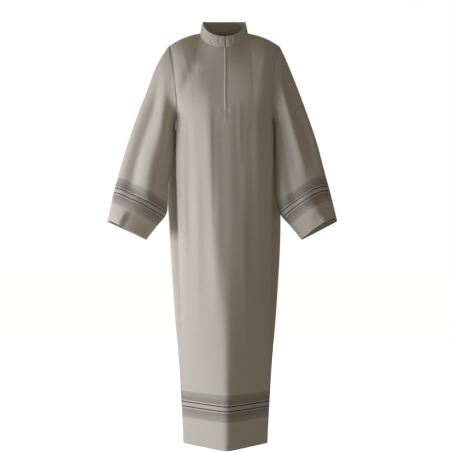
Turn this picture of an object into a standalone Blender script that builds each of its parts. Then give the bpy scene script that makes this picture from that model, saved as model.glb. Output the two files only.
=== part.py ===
"""An alb: a full-length robe with a stand collar, a short covered front opening, wide sleeves and
short side vents. Each cloth piece is a closed wall, worked out as a grid of points from the sizes
below, and hangs as it does on the shoulders of a wearer.

Frame: +Z up, the front faces -Y and +X is the wearer's left. The origin is the middle of the
neck's base, level with the inner ends of the shoulder seams. All sizes are in metres."""

import bpy
import math
import numpy as np

# Cloth and seams
CLOTH = 0.0018
COLLAR_CLOTH = 0.0026
FLY_CLOTH = 0.0014
SEAM_GAP = 0.0003
UNDERARM_GAP = 0.0007
UNDERARM_FOLD_HEIGHT = 0.040
UNDERARM_GAP_HEIGHT = 0.006
SHARPEST_MITRE = 0.62
FLATTEST_LEAN = 0.4
KEY_SHIFT = 0.137

# Heights of the body's main lines
UNDERARM_Z = -0.320
HEM_Z = -1.490

# Neckline: an oval, low in front and a little high at the nape
NECK_HALF_WIDTH = 0.087
NECK_FRONT_Y = -0.080
NECK_FRONT_Z = -0.067
NECK_BACK_Y = 0.066
NECK_BACK_Z = 0.012

# Shoulder point, where the shoulder seam meets the sleeve
SHOULDER_X = 0.203
SHOULDER_Y = 0.005
SHOULDER_Z = -0.048
SHOULDER_ARCH = 0.008

# Armhole ring between the shoulder point and the underarm point, where it is pointed
ARMHOLE_FRONT_DEPTH = 0.072
ARMHOLE_BACK_DEPTH = 0.068
ARMHOLE_SCOOP = 0.012
UNDERARM_POINT = 0.8

# How a panel comes down from its upper edge: how far in from the armholes it follows them (less for
# a higher number), how fast it reaches its fullness below the shoulders (faster for a higher one),
# how much of its own fullness it gives up beside the armholes, and how far it comes in line with the
# panel below the underarm
FRONT_YOKE = {"reach": 1.0, "fall": 2.0, "flattened": 0.0, "lead": 1.0}
BACK_YOKE = {"reach": 1.2, "fall": 3.0, "flattened": 0.6, "lead": 0.5}

# Grid density
SHOULDER_COLUMNS = 11
NECK_COLUMNS = 16
YOKE_ROWS = 12
SLEEVE_COLUMNS = 2 * YOKE_ROWS
OUTLINE_STEPS = 12
SLEEVE_STEPS = 8

# Stand collar: its outer end lies just left of the middle, over the other end
COLLAR_HEIGHT = 0.041
COLLAR_LEAN = 0.009
COLLAR_END_ANGLE = 6.0
COLLAR_UNDERLAP_ANGLE = 36.0
COLLAR_STEP_IN_ANGLE = 30.0
COLLAR_STEP_IN_PLACE = 327.0
COLLAR_LAYER_GAP = 0.0008
COLLAR_ROWS = 4

# Tab on the collar's outer end
TAB_CLOTH = 0.0014
TAB_NECK_STEPS = 3
TAB_ROWS = 5
TAB_CORNER = 0.008
TAB_MARGIN = 0.0010
TAB_LARGEST_CUT = 0.6

# Covered front opening
FLY_WIDTH = 0.022
FLY_EDGE_X = 0.006
FLY_BOTTOM_Z = -0.300
FLY_COLUMNS = 3
FLY_ROWS = 12
FLY_TOP_GAP = 0.002
FLY_THIN_SHARE = 0.45
FLY_PROBE = 0.004

# Side vents at the hem
VENT_HEIGHT = 0.165
VENT_OPENING = 0.004

# The body's outline level by level: the sideways shift of its middle, the front's centre ridge,
# how round the front is (1) rather than folded to a ridge (0), the side edge where the front panel
# ends, and behind it the side fold and the back's flutes, whose troughs differ right and left.
BODY_COLUMNS = ("z", "middle", "ridge_x", "ridge_y", "round", "edge_x", "edge_y", "valley_x", "valley_y",
                "left_flank_x", "right_flank_x", "flank_y", "quarter_x", "quarter_y", "trough_x",
                "left_trough_y", "right_trough_y", "back_x", "back_y")
BODY_LEVELS = (
    (-0.320, 0.002, 0.002, -0.132, 1.00, 0.1755, -0.034, 0.168, 0.012, 0.164, 0.164, 0.046,
     0.132, 0.096, 0.070, 0.121, 0.121, 0.000, 0.127),
    (-0.360, 0.002, 0.004, -0.1335, 0.975, 0.1765, -0.041, 0.163, 0.010, 0.184, 0.186, 0.049,
     0.137, 0.102, 0.070, 0.120, 0.1205, -0.001, 0.129),
    (-0.410, 0.002, 0.006, -0.135, 0.94, 0.1765, -0.047, 0.156, 0.006, 0.195, 0.200, 0.051,
     0.141, 0.108, 0.070, 0.119, 0.120, -0.002, 0.131),
    (-0.500, 0.002, 0.008, -0.138, 0.85, 0.1755, -0.051, 0.148, 0.004, 0.203, 0.2115, 0.046,
     0.146, 0.117, 0.070, 0.113, 0.116, -0.004, 0.136),
    (-0.720, 0.004, 0.009, -0.141, 0.55, 0.171, -0.052, 0.128, 0.002, 0.205, 0.2065, 0.044,
     0.148, 0.125, 0.070, 0.098, 0.106, -0.007, 0.142),
    (-1.000, 0.005, 0.010, -0.143, 0.25, 0.163, -0.050, 0.112, 0.000, 0.190, 0.190, 0.048,
     0.143, 0.130, 0.068, 0.080, 0.092, -0.009, 0.147),
    (-1.250, 0.005, 0.010, -0.148, 0.08, 0.160, -0.046, 0.098, -0.003, 0.170, 0.170, 0.050,
     0.134, 0.132, 0.065, 0.067, 0.081, -0.010, 0.150),
    (-1.490, 0.005, 0.010, -0.158, 0.00, 0.153, -0.040, 0.088, -0.005, 0.156, 0.156, 0.050,
     0.128, 0.132, 0.063, 0.058, 0.073, -0.010, 0.152),
)
BODY_ROW_Z = (-0.320, -0.390, -0.480, -0.590, -0.720, -0.860, -1.000, -1.150, -1.290, -1.390, -1.490)
RIDGE_TIP = 0.10
DOME_SQUARENESS = 2.4
DOME_FULLNESS = 0.72

# Soft folds of the front and back panels, as seen from outside: where each starts and ends,
# how wide it is, and how far it stands out (+) or sinks in (-).
# Each fades in over the first share of its length and out over the last one, and all of them fade
# out towards the side edges.
FOLD_FADE_IN = 0.25
FOLD_FADE_OUT = 0.40
FOLD_EDGE_FADE = 0.22
FOLD_COLUMNS = ("x_top", "z_top", "x_end", "z_end", "width", "height")
FRONT_FOLDS = (
    (-0.060, -0.180, -0.014, -1.150, 0.028, 0.010),
    (-0.105, -0.120, -0.165, -0.270, 0.022, -0.008),
    (-0.128, -0.260, -0.120, -0.900, 0.018, -0.006),
    (0.060, -0.220, 0.050, -0.760, 0.024, -0.004),
    (0.130, -0.150, 0.118, -0.620, 0.026, 0.004),
    (0.095, -0.240, 0.100, -0.980, 0.022, -0.004),
)
BACK_FOLDS = (
    (0.000, -0.060, 0.000, -0.420, 0.040, -0.006),
    (-0.095, -0.120, -0.110, -0.520, 0.030, 0.006),
    (0.095, -0.140, 0.110, -0.500, 0.030, 0.006),
)

# Sleeve outline ring by ring, from the armhole to the cuff. The outer line runs down the arm, the
# inner line is the underarm seam, and the depths are in front of and behind the ring's middle.
SLEEVE_COLUMNS_OF = ("right_out_x", "left_out_x", "out_z", "right_in_x", "left_in_x", "in_z", "mid_y",
                     "front", "back")
SLEEVE_RINGS = (
    (0.203, 0.203, -0.048, 0.176, 0.176, -0.320, -0.0140, 0.068, 0.068),
    (0.248, 0.237, -0.130, 0.1765, 0.1805, -0.375, -0.017, 0.061, 0.065),
    (0.280, 0.271, -0.216, 0.1785, 0.1805, -0.430, -0.020, 0.056, 0.058),
    (0.314, 0.303, -0.304, 0.187, 0.182, -0.490, -0.024, 0.053, 0.052),
    (0.344, 0.333, -0.392, 0.203, 0.184, -0.545, -0.028, 0.051, 0.048),
    (0.368, 0.354, -0.470, 0.204, 0.185, -0.592, -0.032, 0.050, 0.046),
    (0.386, 0.371, -0.538, 0.204, 0.191, -0.630, -0.037, 0.050, 0.045),
    (0.396, 0.381, -0.575, 0.210, 0.204, -0.666, -0.040, 0.051, 0.045),
    (0.408, 0.394, -0.632, 0.245, 0.243, -0.710, -0.044, 0.055, 0.052),
    (0.420, 0.407, -0.690, 0.281, 0.280, -0.756, -0.048, 0.060, 0.058),
)
RINGS_BETWEEN = 14
POINTED_SHARE = 0.35
CUFF_FRONT_RISE = {"right": 0.010, "left": 0.024}
CUFF_BACK_DROP = 0.004
CUFF_SHARE = 0.33

# Soft folds of a sleeve: the angle round it (0 at the outer line, 90 at the front, 270 at the
# back) at the top and at the end, the stretch of its length from 0 to 1, width and height.
SLEEVE_FADE_IN = 0.25
SLEEVE_FADE_OUT = 0.33
SLEEVE_FOLD_COLUMNS = ("angle_top", "angle_end", "start", "end", "width", "height")
RIGHT_SLEEVE_FOLDS = (
    (100.0, 103.0, 0.04, 0.92, 19.0, 0.017),
    (98.0, 60.0, 0.72, 1.08, 17.0, 0.011),
    (142.0, 146.0, 0.02, 0.90, 14.0, -0.006),
    (62.0, 60.0, 0.04, 0.84, 19.0, -0.015),
    (250.0, 262.0, 0.03, 0.92, 18.0, -0.011),
    (292.0, 300.0, 0.05, 0.90, 18.0, 0.008),
)
LEFT_SLEEVE_FOLDS = (
    (86.0, 76.0, 0.02, 0.66, 10.0, 0.007),
    (60.0, 47.0, 0.03, 0.60, 12.0, -0.012),
    (120.0, 112.0, 0.03, 0.92, 16.0, -0.010),
    (84.0, 100.0, 0.66, 1.00, 20.0, 0.010),
    (248.0, 260.0, 0.03, 0.92, 18.0, -0.011),
    (290.0, 300.0, 0.05, 0.90, 18.0, 0.008),
)

# Finish of each piece: colour, roughness
FINISHES = {
    "front": ((0.60, 0.55, 0.48, 1.0), 0.85),
    "back": ((0.59, 0.54, 0.47, 1.0), 0.85),
    "sleeve_right": ((0.58, 0.53, 0.46, 1.0), 0.85),
    "sleeve_left": ((0.58, 0.53, 0.46, 1.0), 0.85),
    "collar": ((0.55, 0.50, 0.43, 1.0), 0.80),
    "collar_tab": ((0.56, 0.51, 0.44, 1.0), 0.80),
    "fly": ((0.57, 0.52, 0.45, 1.0), 0.80),
}


def clear_scene():
    """Removes every object that the startup scene holds."""
    for found in list(bpy.data.objects):
        bpy.data.objects.remove(found, do_unlink=True)


def cloth_material(piece):
    """The matt cloth material of a piece."""
    colour, roughness = FINISHES[piece]
    material = bpy.data.materials.new("ivory_cloth_of_" + piece)
    material.use_nodes = True
    shader = material.node_tree.nodes["Principled BSDF"]
    shader.inputs["Base Color"].default_value = colour
    shader.inputs["Roughness"].default_value = roughness
    shader.inputs["Metallic"].default_value = 0.0
    return material


def smooth_steps(t):
    """0 to 1 with level ends."""
    t = min(max(t, 0.0), 1.0)
    return t * t * (3.0 - 2.0 * t)


def spline_through(points, steps):
    """Catmull-Rom curve through the points, with that many steps from each point to the next."""
    points = np.asarray(points, float)
    before = 2.0 * points[0] - points[1]
    after = 2.0 * points[-1] - points[-2]
    padded = np.vstack((before, points, after))
    curve = []
    for i in range(len(points) - 1):
        p0, p1, p2, p3 = padded[i:i + 4]
        for step in range(steps):
            t = step / steps
            curve.append(0.5 * (2.0 * p1 + (p2 - p0) * t + (2.0 * p0 - 5.0 * p1 + 4.0 * p2 - p3) * t ** 2
                                + (3.0 * p1 - p0 - 3.0 * p2 + p3) * t ** 3))
    curve.append(points[-1])
    return np.array(curve)


def spread_evenly(curve, columns):
    """The same curve as points at equal distances along it."""
    lengths = np.concatenate(([0.0], np.cumsum(np.linalg.norm(np.diff(curve, axis=0), axis=1))))
    places = np.linspace(0.0, lengths[-1], columns + 1)
    return np.column_stack([np.interp(places, lengths, curve[:, k]) for k in range(curve.shape[1])])


def table_at(rows, names, key, value):
    """The table's row at a value of its key column, eased between the two rows around it."""
    table = np.array(rows, float)
    keys = table[:, names.index(key)]
    slopes = np.gradient(table, keys, axis=0)
    upper = int(np.clip(np.searchsorted(-keys, -value, side="right") - 1, 0, len(keys) - 2))
    span = keys[upper + 1] - keys[upper]
    t = (value - keys[upper]) / span
    start, end = table[upper], table[upper + 1]
    found = ((2 * t ** 3 - 3 * t ** 2 + 1) * start + (t ** 3 - 2 * t ** 2 + t) * span * slopes[upper]
             + (3 * t ** 2 - 2 * t ** 3) * end + (t ** 3 - t ** 2) * span * slopes[upper + 1])
    return dict(zip(names, found))


def front_point(level, u):
    """A point of the front panel at one level; u runs from -1 at the right side edge to +1."""
    s = abs(u)
    rounded = level["round"]
    across = (1.0 - rounded) * s + rounded * math.sin(0.5 * math.pi * s)
    vee = 1.0 - (math.hypot(s, RIDGE_TIP) - RIDGE_TIP) / (math.hypot(1.0, RIDGE_TIP) - RIDGE_TIP)
    dome = (1.0 - min(across, 1.0) ** DOME_SQUARENESS) ** DOME_FULLNESS
    edge_x = level["middle"] + math.copysign(level["edge_x"], u)
    x = level["ridge_x"] + (edge_x - level["ridge_x"]) * across
    y = level["edge_y"] + (level["ridge_y"] - level["edge_y"]) * ((1.0 - rounded) * vee + rounded * dome)
    return x, y


def back_keys(level):
    """The back panel's key points at one level, from the left side edge round to the right one."""
    sides = [("edge_x", "edge_y", "edge_x", "edge_y"), ("valley_x", "valley_y", "valley_x", "valley_y"),
             ("left_flank_x", "flank_y", "right_flank_x", "flank_y"),
             ("quarter_x", "quarter_y", "quarter_x", "quarter_y"),
             ("trough_x", "left_trough_y", "trough_x", "right_trough_y")]
    middle = level["middle"]
    left = [(middle + level[x], level[y]) for x, y, _, _ in sides]
    right = [(middle - level[x], level[y]) for _, _, x, y in reversed(sides)]
    return left + [(middle + level["back_x"], level["back_y"])] + right


def front_row(z, columns):
    """The front panel's outer line at height z."""
    level = table_at(BODY_LEVELS, BODY_COLUMNS, "z", z)
    return np.array([(*front_point(level, 2.0 * c / columns - 1.0), z) for c in range(columns + 1)])


def back_row(z, columns):
    """The back panel's outer line at height z, from the wearer's left round to the right."""
    level = table_at(BODY_LEVELS, BODY_COLUMNS, "z", z)
    line = spread_evenly(spline_through(back_keys(level), OUTLINE_STEPS), columns)
    return np.column_stack((line, np.full(len(line), z)))


def neck_point(angle):
    """A point of the neckline: angle 0 is the front, 90 the wearer's left, 180 the nape."""
    ahead = math.cos(angle)
    x = NECK_HALF_WIDTH * math.sin(angle)
    if ahead > 0.0:
        return np.array((x, NECK_FRONT_Y * ahead, NECK_FRONT_Z * ahead))
    return np.array((x, -NECK_BACK_Y * ahead, -NECK_BACK_Z * ahead))


def shoulder_point(side):
    return np.array((side * SHOULDER_X, SHOULDER_Y, SHOULDER_Z))


def underarm_point(side):
    level = table_at(BODY_LEVELS, BODY_COLUMNS, "z", UNDERARM_Z)
    return np.array((level["middle"] + side * level["edge_x"], level["edge_y"], UNDERARM_Z))


def shoulder_seam(side, neck_end):
    """The shoulder seam from the shoulder point to the neckline, slightly arched."""
    share = np.linspace(0.0, 1.0, SHOULDER_COLUMNS + 1)
    line = shoulder_point(side) + (neck_end - shoulder_point(side)) * share[:, None]
    line[:, 2] += SHOULDER_ARCH * np.sin(math.pi * share)
    return line


def top_row(start_angle):
    """The upper edge of a body panel: one shoulder seam, half the neckline, the other seam."""
    angles = start_angle + math.pi * np.linspace(0.0, 1.0, NECK_COLUMNS + 1)
    neck = [neck_point(a) for a in angles]
    near = shoulder_seam(math.copysign(1.0, neck[0][0]), neck[0])
    far = shoulder_seam(math.copysign(1.0, neck[-1][0]), neck[-1])
    return np.vstack((near, neck[1:-1], far[::-1]))


def pointed_sine(angle, point):
    """The sine of an angle, drawn in towards 180 degrees by point, so that a ring ends in a point."""
    exponent = 1.0 + point * max(0.0, -math.cos(angle))
    return math.copysign(abs(math.sin(angle)) ** exponent, math.sin(angle))


def armhole_point(side, angle):
    """A point of the armhole ring: 0 is the shoulder point, 90 the front, 180 the underarm."""
    top, low = shoulder_point(side), underarm_point(side)
    middle, half = (top + low) / 2.0, (top - low) / 2.0
    ahead = pointed_sine(angle, UNDERARM_POINT)
    depth = ARMHOLE_FRONT_DEPTH if ahead > 0.0 else ARMHOLE_BACK_DEPTH
    scoop = np.array((-side * ARMHOLE_SCOOP * abs(ahead), -depth * ahead, 0.0))
    return middle + half * math.cos(angle) + scoop


def yoke(top, bottom, below, first_edge, last_edge, shape):
    """The panel above the underarm: it hangs from the top row, meets the bottom row in line with the
    row below that, and near its two sides it follows the armholes."""
    across = np.linspace(0.0, 1.0, len(top))
    near_first = np.abs(np.cos(math.pi * across)) ** (2.0 * shape["reach"]) * (across < 0.5)
    near_last = near_first[::-1]
    drop = top[:, 2] - bottom[:, 2]
    leaving = shape["lead"] * (below - bottom) * (drop / (bottom[:, 2] - below[:, 2]))[:, None]
    rows = []
    for r in range(YOKE_ROWS + 1):
        v = r / YOKE_ROWS
        eased = 1.0 - (1.0 - v) ** shape["fall"]
        hung = top + (bottom - top) * eased - leaving * v * (1.0 - v)
        hung[:, 2] = top[:, 2] + (bottom[:, 2] - top[:, 2]) * v
        row = hung.copy()
        flattened = shape["flattened"] * math.sin(math.pi * v)
        for near, edge, end in ((near_first, first_edge[r], hung[0]), (near_last, last_edge[r], hung[-1])):
            row += near[:, None] * (edge - end)
            row[:, 1] += flattened * near ** 2 * (end[1] - hung[:, 1])
        rows.append(row)
    return np.array(rows)


def fold_height(folds, x, z):
    """How far the folds lift the cloth at x, z."""
    total = 0.0
    for row in folds:
        fold = dict(zip(FOLD_COLUMNS, row))
        along = (fold["z_top"] - z) / (fold["z_top"] - fold["z_end"])
        if not 0.0 < along < 1.0:
            continue
        centre = fold["x_top"] + (fold["x_end"] - fold["x_top"]) * along
        fade = smooth_steps(along / FOLD_FADE_IN) * smooth_steps((1.0 - along) / FOLD_FADE_OUT)
        total += fold["height"] * fade * math.exp(-((x - centre) / fold["width"]) ** 2)
    return total


def add_folds(grid, folds, outwards):
    """Lifts a body panel's points along Y by its folds, and leaves its top and side edges in place."""
    rows, columns = grid.shape[:2]
    for r in range(1, rows):
        for c in range(1, columns - 1):
            inset = min(c, columns - 1 - c) / (columns - 1)
            x, _, z = grid[r, c]
            fade = smooth_steps(inset / FOLD_EDGE_FADE)
            grid[r, c, 1] += outwards * fade * fold_height(folds, x, z)
    return grid


def body_panel(start_angle, row_at, first_side, armhole_turn, shape):
    """A body panel from its upper edge to the hem, with its lower rows from row_at."""
    top = top_row(start_angle)
    columns = len(top) - 1
    angles = armhole_turn * np.linspace(0.0, math.pi, YOKE_ROWS + 1)
    upper = yoke(top, row_at(UNDERARM_Z, columns), row_at(BODY_ROW_Z[1], columns),
                 [armhole_point(first_side, a) for a in angles],
                 [armhole_point(-first_side, a) for a in angles], shape)
    lower = np.array([row_at(z, columns) for z in BODY_ROW_Z[1:]])
    return np.concatenate((upper, lower))


def front_grid():
    """The front panel, from the right side edge to the left one, and from the top to the hem."""
    panel = body_panel(-0.5 * math.pi, front_row, -1.0, 1.0, FRONT_YOKE)
    return add_folds(panel, FRONT_FOLDS, -1.0)


def back_grid():
    """The back panel, from the left side edge to the right one, and from the top to the hem."""
    panel = body_panel(0.5 * math.pi, back_row, 1.0, -1.0, BACK_YOKE)
    return add_folds(panel, BACK_FOLDS, 1.0)


def sleeve_ring_sizes(side):
    """The sleeve's ring sizes, evenly spaced along its length."""
    table = np.array(SLEEVE_RINGS, float)
    fine = spline_through(table, SLEEVE_STEPS)
    places = np.linspace(0.0, len(fine) - 1.0, RINGS_BETWEEN + 1)
    spaced = [np.array([np.interp(p, range(len(fine)), fine[:, c]) for c in range(fine.shape[1])])
              for p in places]
    hand = "left" if side > 0 else "right"
    rings = []
    for row in spaced:
        ring = dict(zip(SLEEVE_COLUMNS_OF, row))
        ring["out_x"] = ring[hand + "_out_x"]
        ring["in_x"] = ring[hand + "_in_x"]
        rings.append(ring)
    return rings


def sleeve_fold(folds, along, angle):
    """How far a sleeve's folds lift it, at a share of its length and an angle in degrees."""
    total = 0.0
    for row in folds:
        fold = dict(zip(SLEEVE_FOLD_COLUMNS, row))
        share = (along - fold["start"]) / (fold["end"] - fold["start"])
        if not 0.0 < share < 1.0:
            continue
        centre = fold["angle_top"] + (fold["angle_end"] - fold["angle_top"]) * share
        fade = smooth_steps(share / SLEEVE_FADE_IN) * smooth_steps((1.0 - share) / SLEEVE_FADE_OUT)
        total += fold["height"] * fade * math.exp(-((angle - centre) / fold["width"]) ** 2)
    return total


def sleeve_grid(side, folds):
    """A sleeve from its armhole to its cuff; the columns run round it from the outer line."""
    rings = sleeve_ring_sizes(side)
    angles = np.linspace(0.0, 2.0 * math.pi, SLEEVE_COLUMNS + 1)[:-1]
    rows = [[armhole_point(side, a) for a in angles]]
    front_rise = CUFF_FRONT_RISE["left" if side > 0 else "right"]
    for number, ring in enumerate(rings[1:], start=1):
        along = number / (len(rings) - 1)
        turned_up = smooth_steps((along - 1.0 + CUFF_SHARE) / CUFF_SHARE)
        outer = np.array((side * ring["out_x"], ring["mid_y"], ring["out_z"]))
        inner = np.array((side * ring["in_x"], ring["mid_y"], ring["in_z"]))
        middle, half = (outer + inner) / 2.0, (outer - inner) / 2.0
        row = []
        for a in angles:
            ahead = pointed_sine(a, UNDERARM_POINT * (1.0 - smooth_steps(along / POINTED_SHARE)))
            depth = ring["front"] if ahead > 0.0 else ring["back"]
            lift = sleeve_fold(folds, along, math.degrees(a))
            rise = (front_rise if ahead > 0.0 else CUFF_BACK_DROP) * ahead * turned_up
            sideways = half * math.cos(a) * (1.0 + lift / np.linalg.norm(half))
            row.append(middle + sideways + np.array((0.0, -(depth + lift) * ahead, rise)))
        rows.append(row)
    grid = np.array(rows)
    return grid[:, ::-1] if side > 0 else grid


def face_normals(grid, closed):
    """Unit normals of the grid's faces, shape (rows - 1, columns, 3)."""
    columns = grid.shape[1] if closed else grid.shape[1] - 1
    right = np.roll(grid, -1, axis=1)[:, :columns]
    here = grid[:, :columns]
    normals = np.cross(right[1:] - here[:-1], right[:-1] - here[1:])
    return normals / np.linalg.norm(normals, axis=2)[..., None]


def vertex_sums(grid, closed):
    """The sum of the unit normals round each point, and their number."""
    faces = face_normals(grid, closed)
    sums = np.zeros(grid.shape)
    counts = np.zeros(grid.shape[:2])
    rows, columns = grid.shape[:2]
    for r in range(faces.shape[0]):
        for c in range(faces.shape[1]):
            for rr, cc in ((r, c), (r + 1, c), (r, (c + 1) % columns), (r + 1, (c + 1) % columns)):
                sums[rr, cc] += faces[r, c]
                counts[rr, cc] += 1
    return sums, counts


def seam_key(point):
    """Equal for points that coincide at a seam, to a hundredth of a millimetre."""
    hundredths = 1e5 * point + KEY_SHIFT
    return tuple(np.round(hundredths).astype(int))


def shared_offsets(grids):
    """For each named grid, the inward mitre direction at each point. Points that several pieces
    share at a seam get one direction, half of it from the body and half from the sleeve where both
    meet, so that the pieces' walls end face to face."""
    totals = {}
    for grid, closed in grids.values():
        sums, counts = vertex_sums(grid, closed)
        for point, total, count in zip(grid.reshape(-1, 3), sums.reshape(-1, 3), counts.reshape(-1)):
            sides = totals.setdefault(seam_key(point), {})
            before = sides.get(closed, (np.zeros(3), 0))
            sides[closed] = (before[0] + total, before[1] + count)
    offsets = {}
    for name, (grid, closed) in grids.items():
        found = []
        for point in grid.reshape(-1, 3):
            means = [total / count for total, count in totals[seam_key(point)].values()]
            mean = sum(means) / len(means)
            length = np.linalg.norm(mean)
            found.append(-mean / length / max(length, SHARPEST_MITRE))
        offsets[name] = np.array(found).reshape(grid.shape)
    return offsets


def open_seam(grid, offsets, axis, at, gap):
    """Moves one edge of a grid back from its seam, square to the mitre, by gap at each point."""
    lines = np.moveaxis(grid, axis, 0)
    edge, beside = lines[at], lines[1 if at == 0 else -2]
    away = beside - edge
    away /= np.linalg.norm(away, axis=1)[:, None]
    along = np.gradient(edge, axis=0)
    facing = np.moveaxis(offsets, axis, 0)[at]
    square = np.cross(along, facing)
    square /= np.linalg.norm(square, axis=1)[:, None]
    lean = np.maximum(np.abs(np.sum(square * away, axis=1)), FLATTEST_LEAN)
    lines[at] = edge + away * (np.asarray(gap) / lean)[:, None]


def edge_strip(points, loop, shift):
    """Triangles that close the wall between an edge of its outer grid and the same edge of its inner
    one. Each step is split the same way, from its higher end, so that strips at a seam match."""
    faces = []
    for a, b in zip(loop[:-1], loop[1:]):
        if points[a][2] >= points[b][2]:
            faces += [(a, b, shift + b), (a, shift + b, shift + a)]
        else:
            faces += [(a, b, shift + a), (b, shift + b, shift + a)]
    return faces


def wall(name, outer, inner, closed):
    """A closed solid between an outer and an inner grid of points."""
    rows, columns = outer.shape[:2]
    points = [tuple(p) for p in outer.reshape(-1, 3)] + [tuple(p) for p in inner.reshape(-1, 3)]
    shift = rows * columns
    spans = columns if closed else columns - 1
    faces = []
    for r in range(rows - 1):
        for c in range(spans):
            a, b = r * columns + c, r * columns + (c + 1) % columns
            faces.append((a, a + columns, b + columns, b))
            faces.append((shift + a, shift + b, shift + b + columns, shift + a + columns))
    top = [c % columns for c in range(spans + 1)]
    hem = [(rows - 1) * columns + c for c in reversed(top)]
    faces += edge_strip(points, top, shift) + edge_strip(points, hem, shift)
    if not closed:
        first = [r * columns for r in reversed(range(rows))]
        last = [r * columns + columns - 1 for r in range(rows)]
        faces += edge_strip(points, first, shift) + edge_strip(points, last, shift)
    mesh = bpy.data.meshes.new(name)
    mesh.from_pydata(points, [], faces)
    mesh.materials.append(cloth_material(name))
    mesh.shade_smooth()
    mesh.update()
    piece = bpy.data.objects.new(name, mesh)
    bpy.context.scene.collection.objects.link(piece)
    return piece


def hold_off_underarm(sleeve):
    """Moves a sleeve's end away from the body in the narrow fold at the underarm."""
    ring = sleeve[0]
    side = math.copysign(1.0, ring[0, 0])
    near = np.exp(-((ring[:, 2] - ring[:, 2].min()) / UNDERARM_FOLD_HEIGHT) ** 2)
    ring[:, 0] += side * UNDERARM_GAP * near


def sewn_pieces():
    """The front, back and sleeves, whose walls meet at shared seams."""
    grids = {
        "front": (front_grid(), False),
        "back": (back_grid(), False),
        "sleeve_right": (sleeve_grid(-1.0, RIGHT_SLEEVE_FOLDS), True),
        "sleeve_left": (sleeve_grid(1.0, LEFT_SLEEVE_FOLDS), True),
    }
    offsets = shared_offsets(grids)
    half_gap = SEAM_GAP / 2.0
    for name, (grid, closed) in grids.items():
        away = offsets[name]
        open_seam(grid, away, 0, 0, np.full(grid.shape[1], half_gap))
        if closed:
            hold_off_underarm(grid)
        else:
            heights = grid[:, 0, 2]
            gap = half_gap + 0.5 * UNDERARM_GAP * np.exp(-((heights - UNDERARM_Z) / UNDERARM_GAP_HEIGHT) ** 2)
            if name == "back":
                gap += VENT_OPENING * np.clip(1.0 - (heights - HEM_Z) / VENT_HEIGHT, 0.0, 1.0)
            open_seam(grid, away, 1, 0, gap)
            open_seam(grid, away, 1, -1, gap)
        wall(name, grid, grid + away * CLOTH, closed)
    return grids


def neck_base(angle):
    """The neckline at an angle in degrees, along the straight steps that the body panels have."""
    step = 180.0 / NECK_COLUMNS
    number = math.floor(angle / step)
    share = angle / step - number
    before, after = neck_point(math.radians(number * step)), neck_point(math.radians((number + 1) * step))
    return before + (after - before) * share


def collar_point(angle, height, depth):
    """A point of the collar: angle along the neck, height above it and depth in from its face."""
    turn = math.radians(angle)
    under = COLLAR_CLOTH + COLLAR_LAYER_GAP
    inset = under * smooth_steps((angle - COLLAR_STEP_IN_PLACE) / COLLAR_STEP_IN_ANGLE)
    inset += depth + COLLAR_LEAN * height / COLLAR_HEIGHT
    return neck_base(angle) + np.array((-inset * math.sin(turn), inset * math.cos(turn), height))


def collar():
    """The stand collar: one strip round the neck whose ends overlap at the front."""
    step = 180.0 / NECK_COLUMNS
    last = 360.0 + COLLAR_UNDERLAP_ANGLE
    angles = [COLLAR_END_ANGLE] + list(np.arange(step, last - 2.0, step)) + [last]
    heights = SEAM_GAP + np.linspace(COLLAR_HEIGHT, 0.0, COLLAR_ROWS + 1)
    outer = np.array([[collar_point(a, h, 0.0) for a in angles] for h in heights])
    inner = np.array([[collar_point(a, h, COLLAR_CLOTH) for a in angles] for h in heights])
    wall("collar", outer, inner, False)


def collar_tab():
    """The tab on the collar's outer end, with a rounded lower corner at the opening."""
    outer, inner = [], []
    low = TAB_MARGIN + SEAM_GAP
    high = COLLAR_HEIGHT - TAB_MARGIN
    for r in range(TAB_ROWS + 1):
        height = high + (low - high) * r / TAB_ROWS
        cut = max(0.0, low + TAB_CORNER - height)
        inset = TAB_CORNER - math.sqrt(TAB_CORNER ** 2 - min(cut, TAB_CORNER) ** 2)
        start = COLLAR_END_ANGLE + math.degrees(min(inset, TAB_LARGEST_CUT * TAB_CORNER) / NECK_HALF_WIDTH)
        angles = [start] + [n * 180.0 / NECK_COLUMNS for n in range(1, TAB_NECK_STEPS + 1)]
        outer.append([collar_point(a, height, -SEAM_GAP - TAB_CLOTH) for a in angles])
        inner.append([collar_point(a, height, -SEAM_GAP) for a in angles])
    wall("collar_tab", np.array(outer), np.array(inner), False)


def panel_point(grid, x, z):
    """The front panel's outer point at x and z, found between its grid points."""
    best = None
    for r in range(grid.shape[0] - 1):
        row = np.array([np.interp(x, grid[r, :, 0], grid[r, :, k]) for k in range(3)])
        below = np.array([np.interp(x, grid[r + 1, :, 0], grid[r + 1, :, k]) for k in range(3)])
        if row[2] >= z >= below[2]:
            t = (row[2] - z) / (row[2] - below[2])
            best = row + (below - row) * t
            break
    return best


def fly(front):
    """The covered opening: a strip that lies on the front panel from the collar down the chest."""
    outer, inner = [], []
    for r in range(FLY_ROWS + 1):
        share = r / FLY_ROWS
        outer_row, inner_row = [], []
        for c in range(FLY_COLUMNS + 1):
            x = FLY_EDGE_X - FLY_WIDTH * (1.0 - c / FLY_COLUMNS)
            top = front_neck_z(x) - FLY_TOP_GAP
            z = top + (FLY_BOTTOM_Z - top) * share
            here = panel_point(front, x, z)
            right, low = panel_point(front, x + FLY_PROBE, z), panel_point(front, x, z - FLY_PROBE)
            normal = np.cross(right - here, here - low)
            normal /= np.linalg.norm(normal)
            normal = -normal if normal[1] > 0.0 else normal
            thick = FLY_CLOTH * (FLY_THIN_SHARE + (1.0 - FLY_THIN_SHARE) * c / FLY_COLUMNS)
            inner_row.append(here + normal * SEAM_GAP)
            outer_row.append(here + normal * (SEAM_GAP + thick))
        outer.append(outer_row)
        inner.append(inner_row)
    wall("fly", np.array(outer), np.array(inner), False)


def front_neck_z(x):
    """The neckline's height above x at the front."""
    return NECK_FRONT_Z * math.sqrt(1.0 - (x / NECK_HALF_WIDTH) ** 2)


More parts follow.
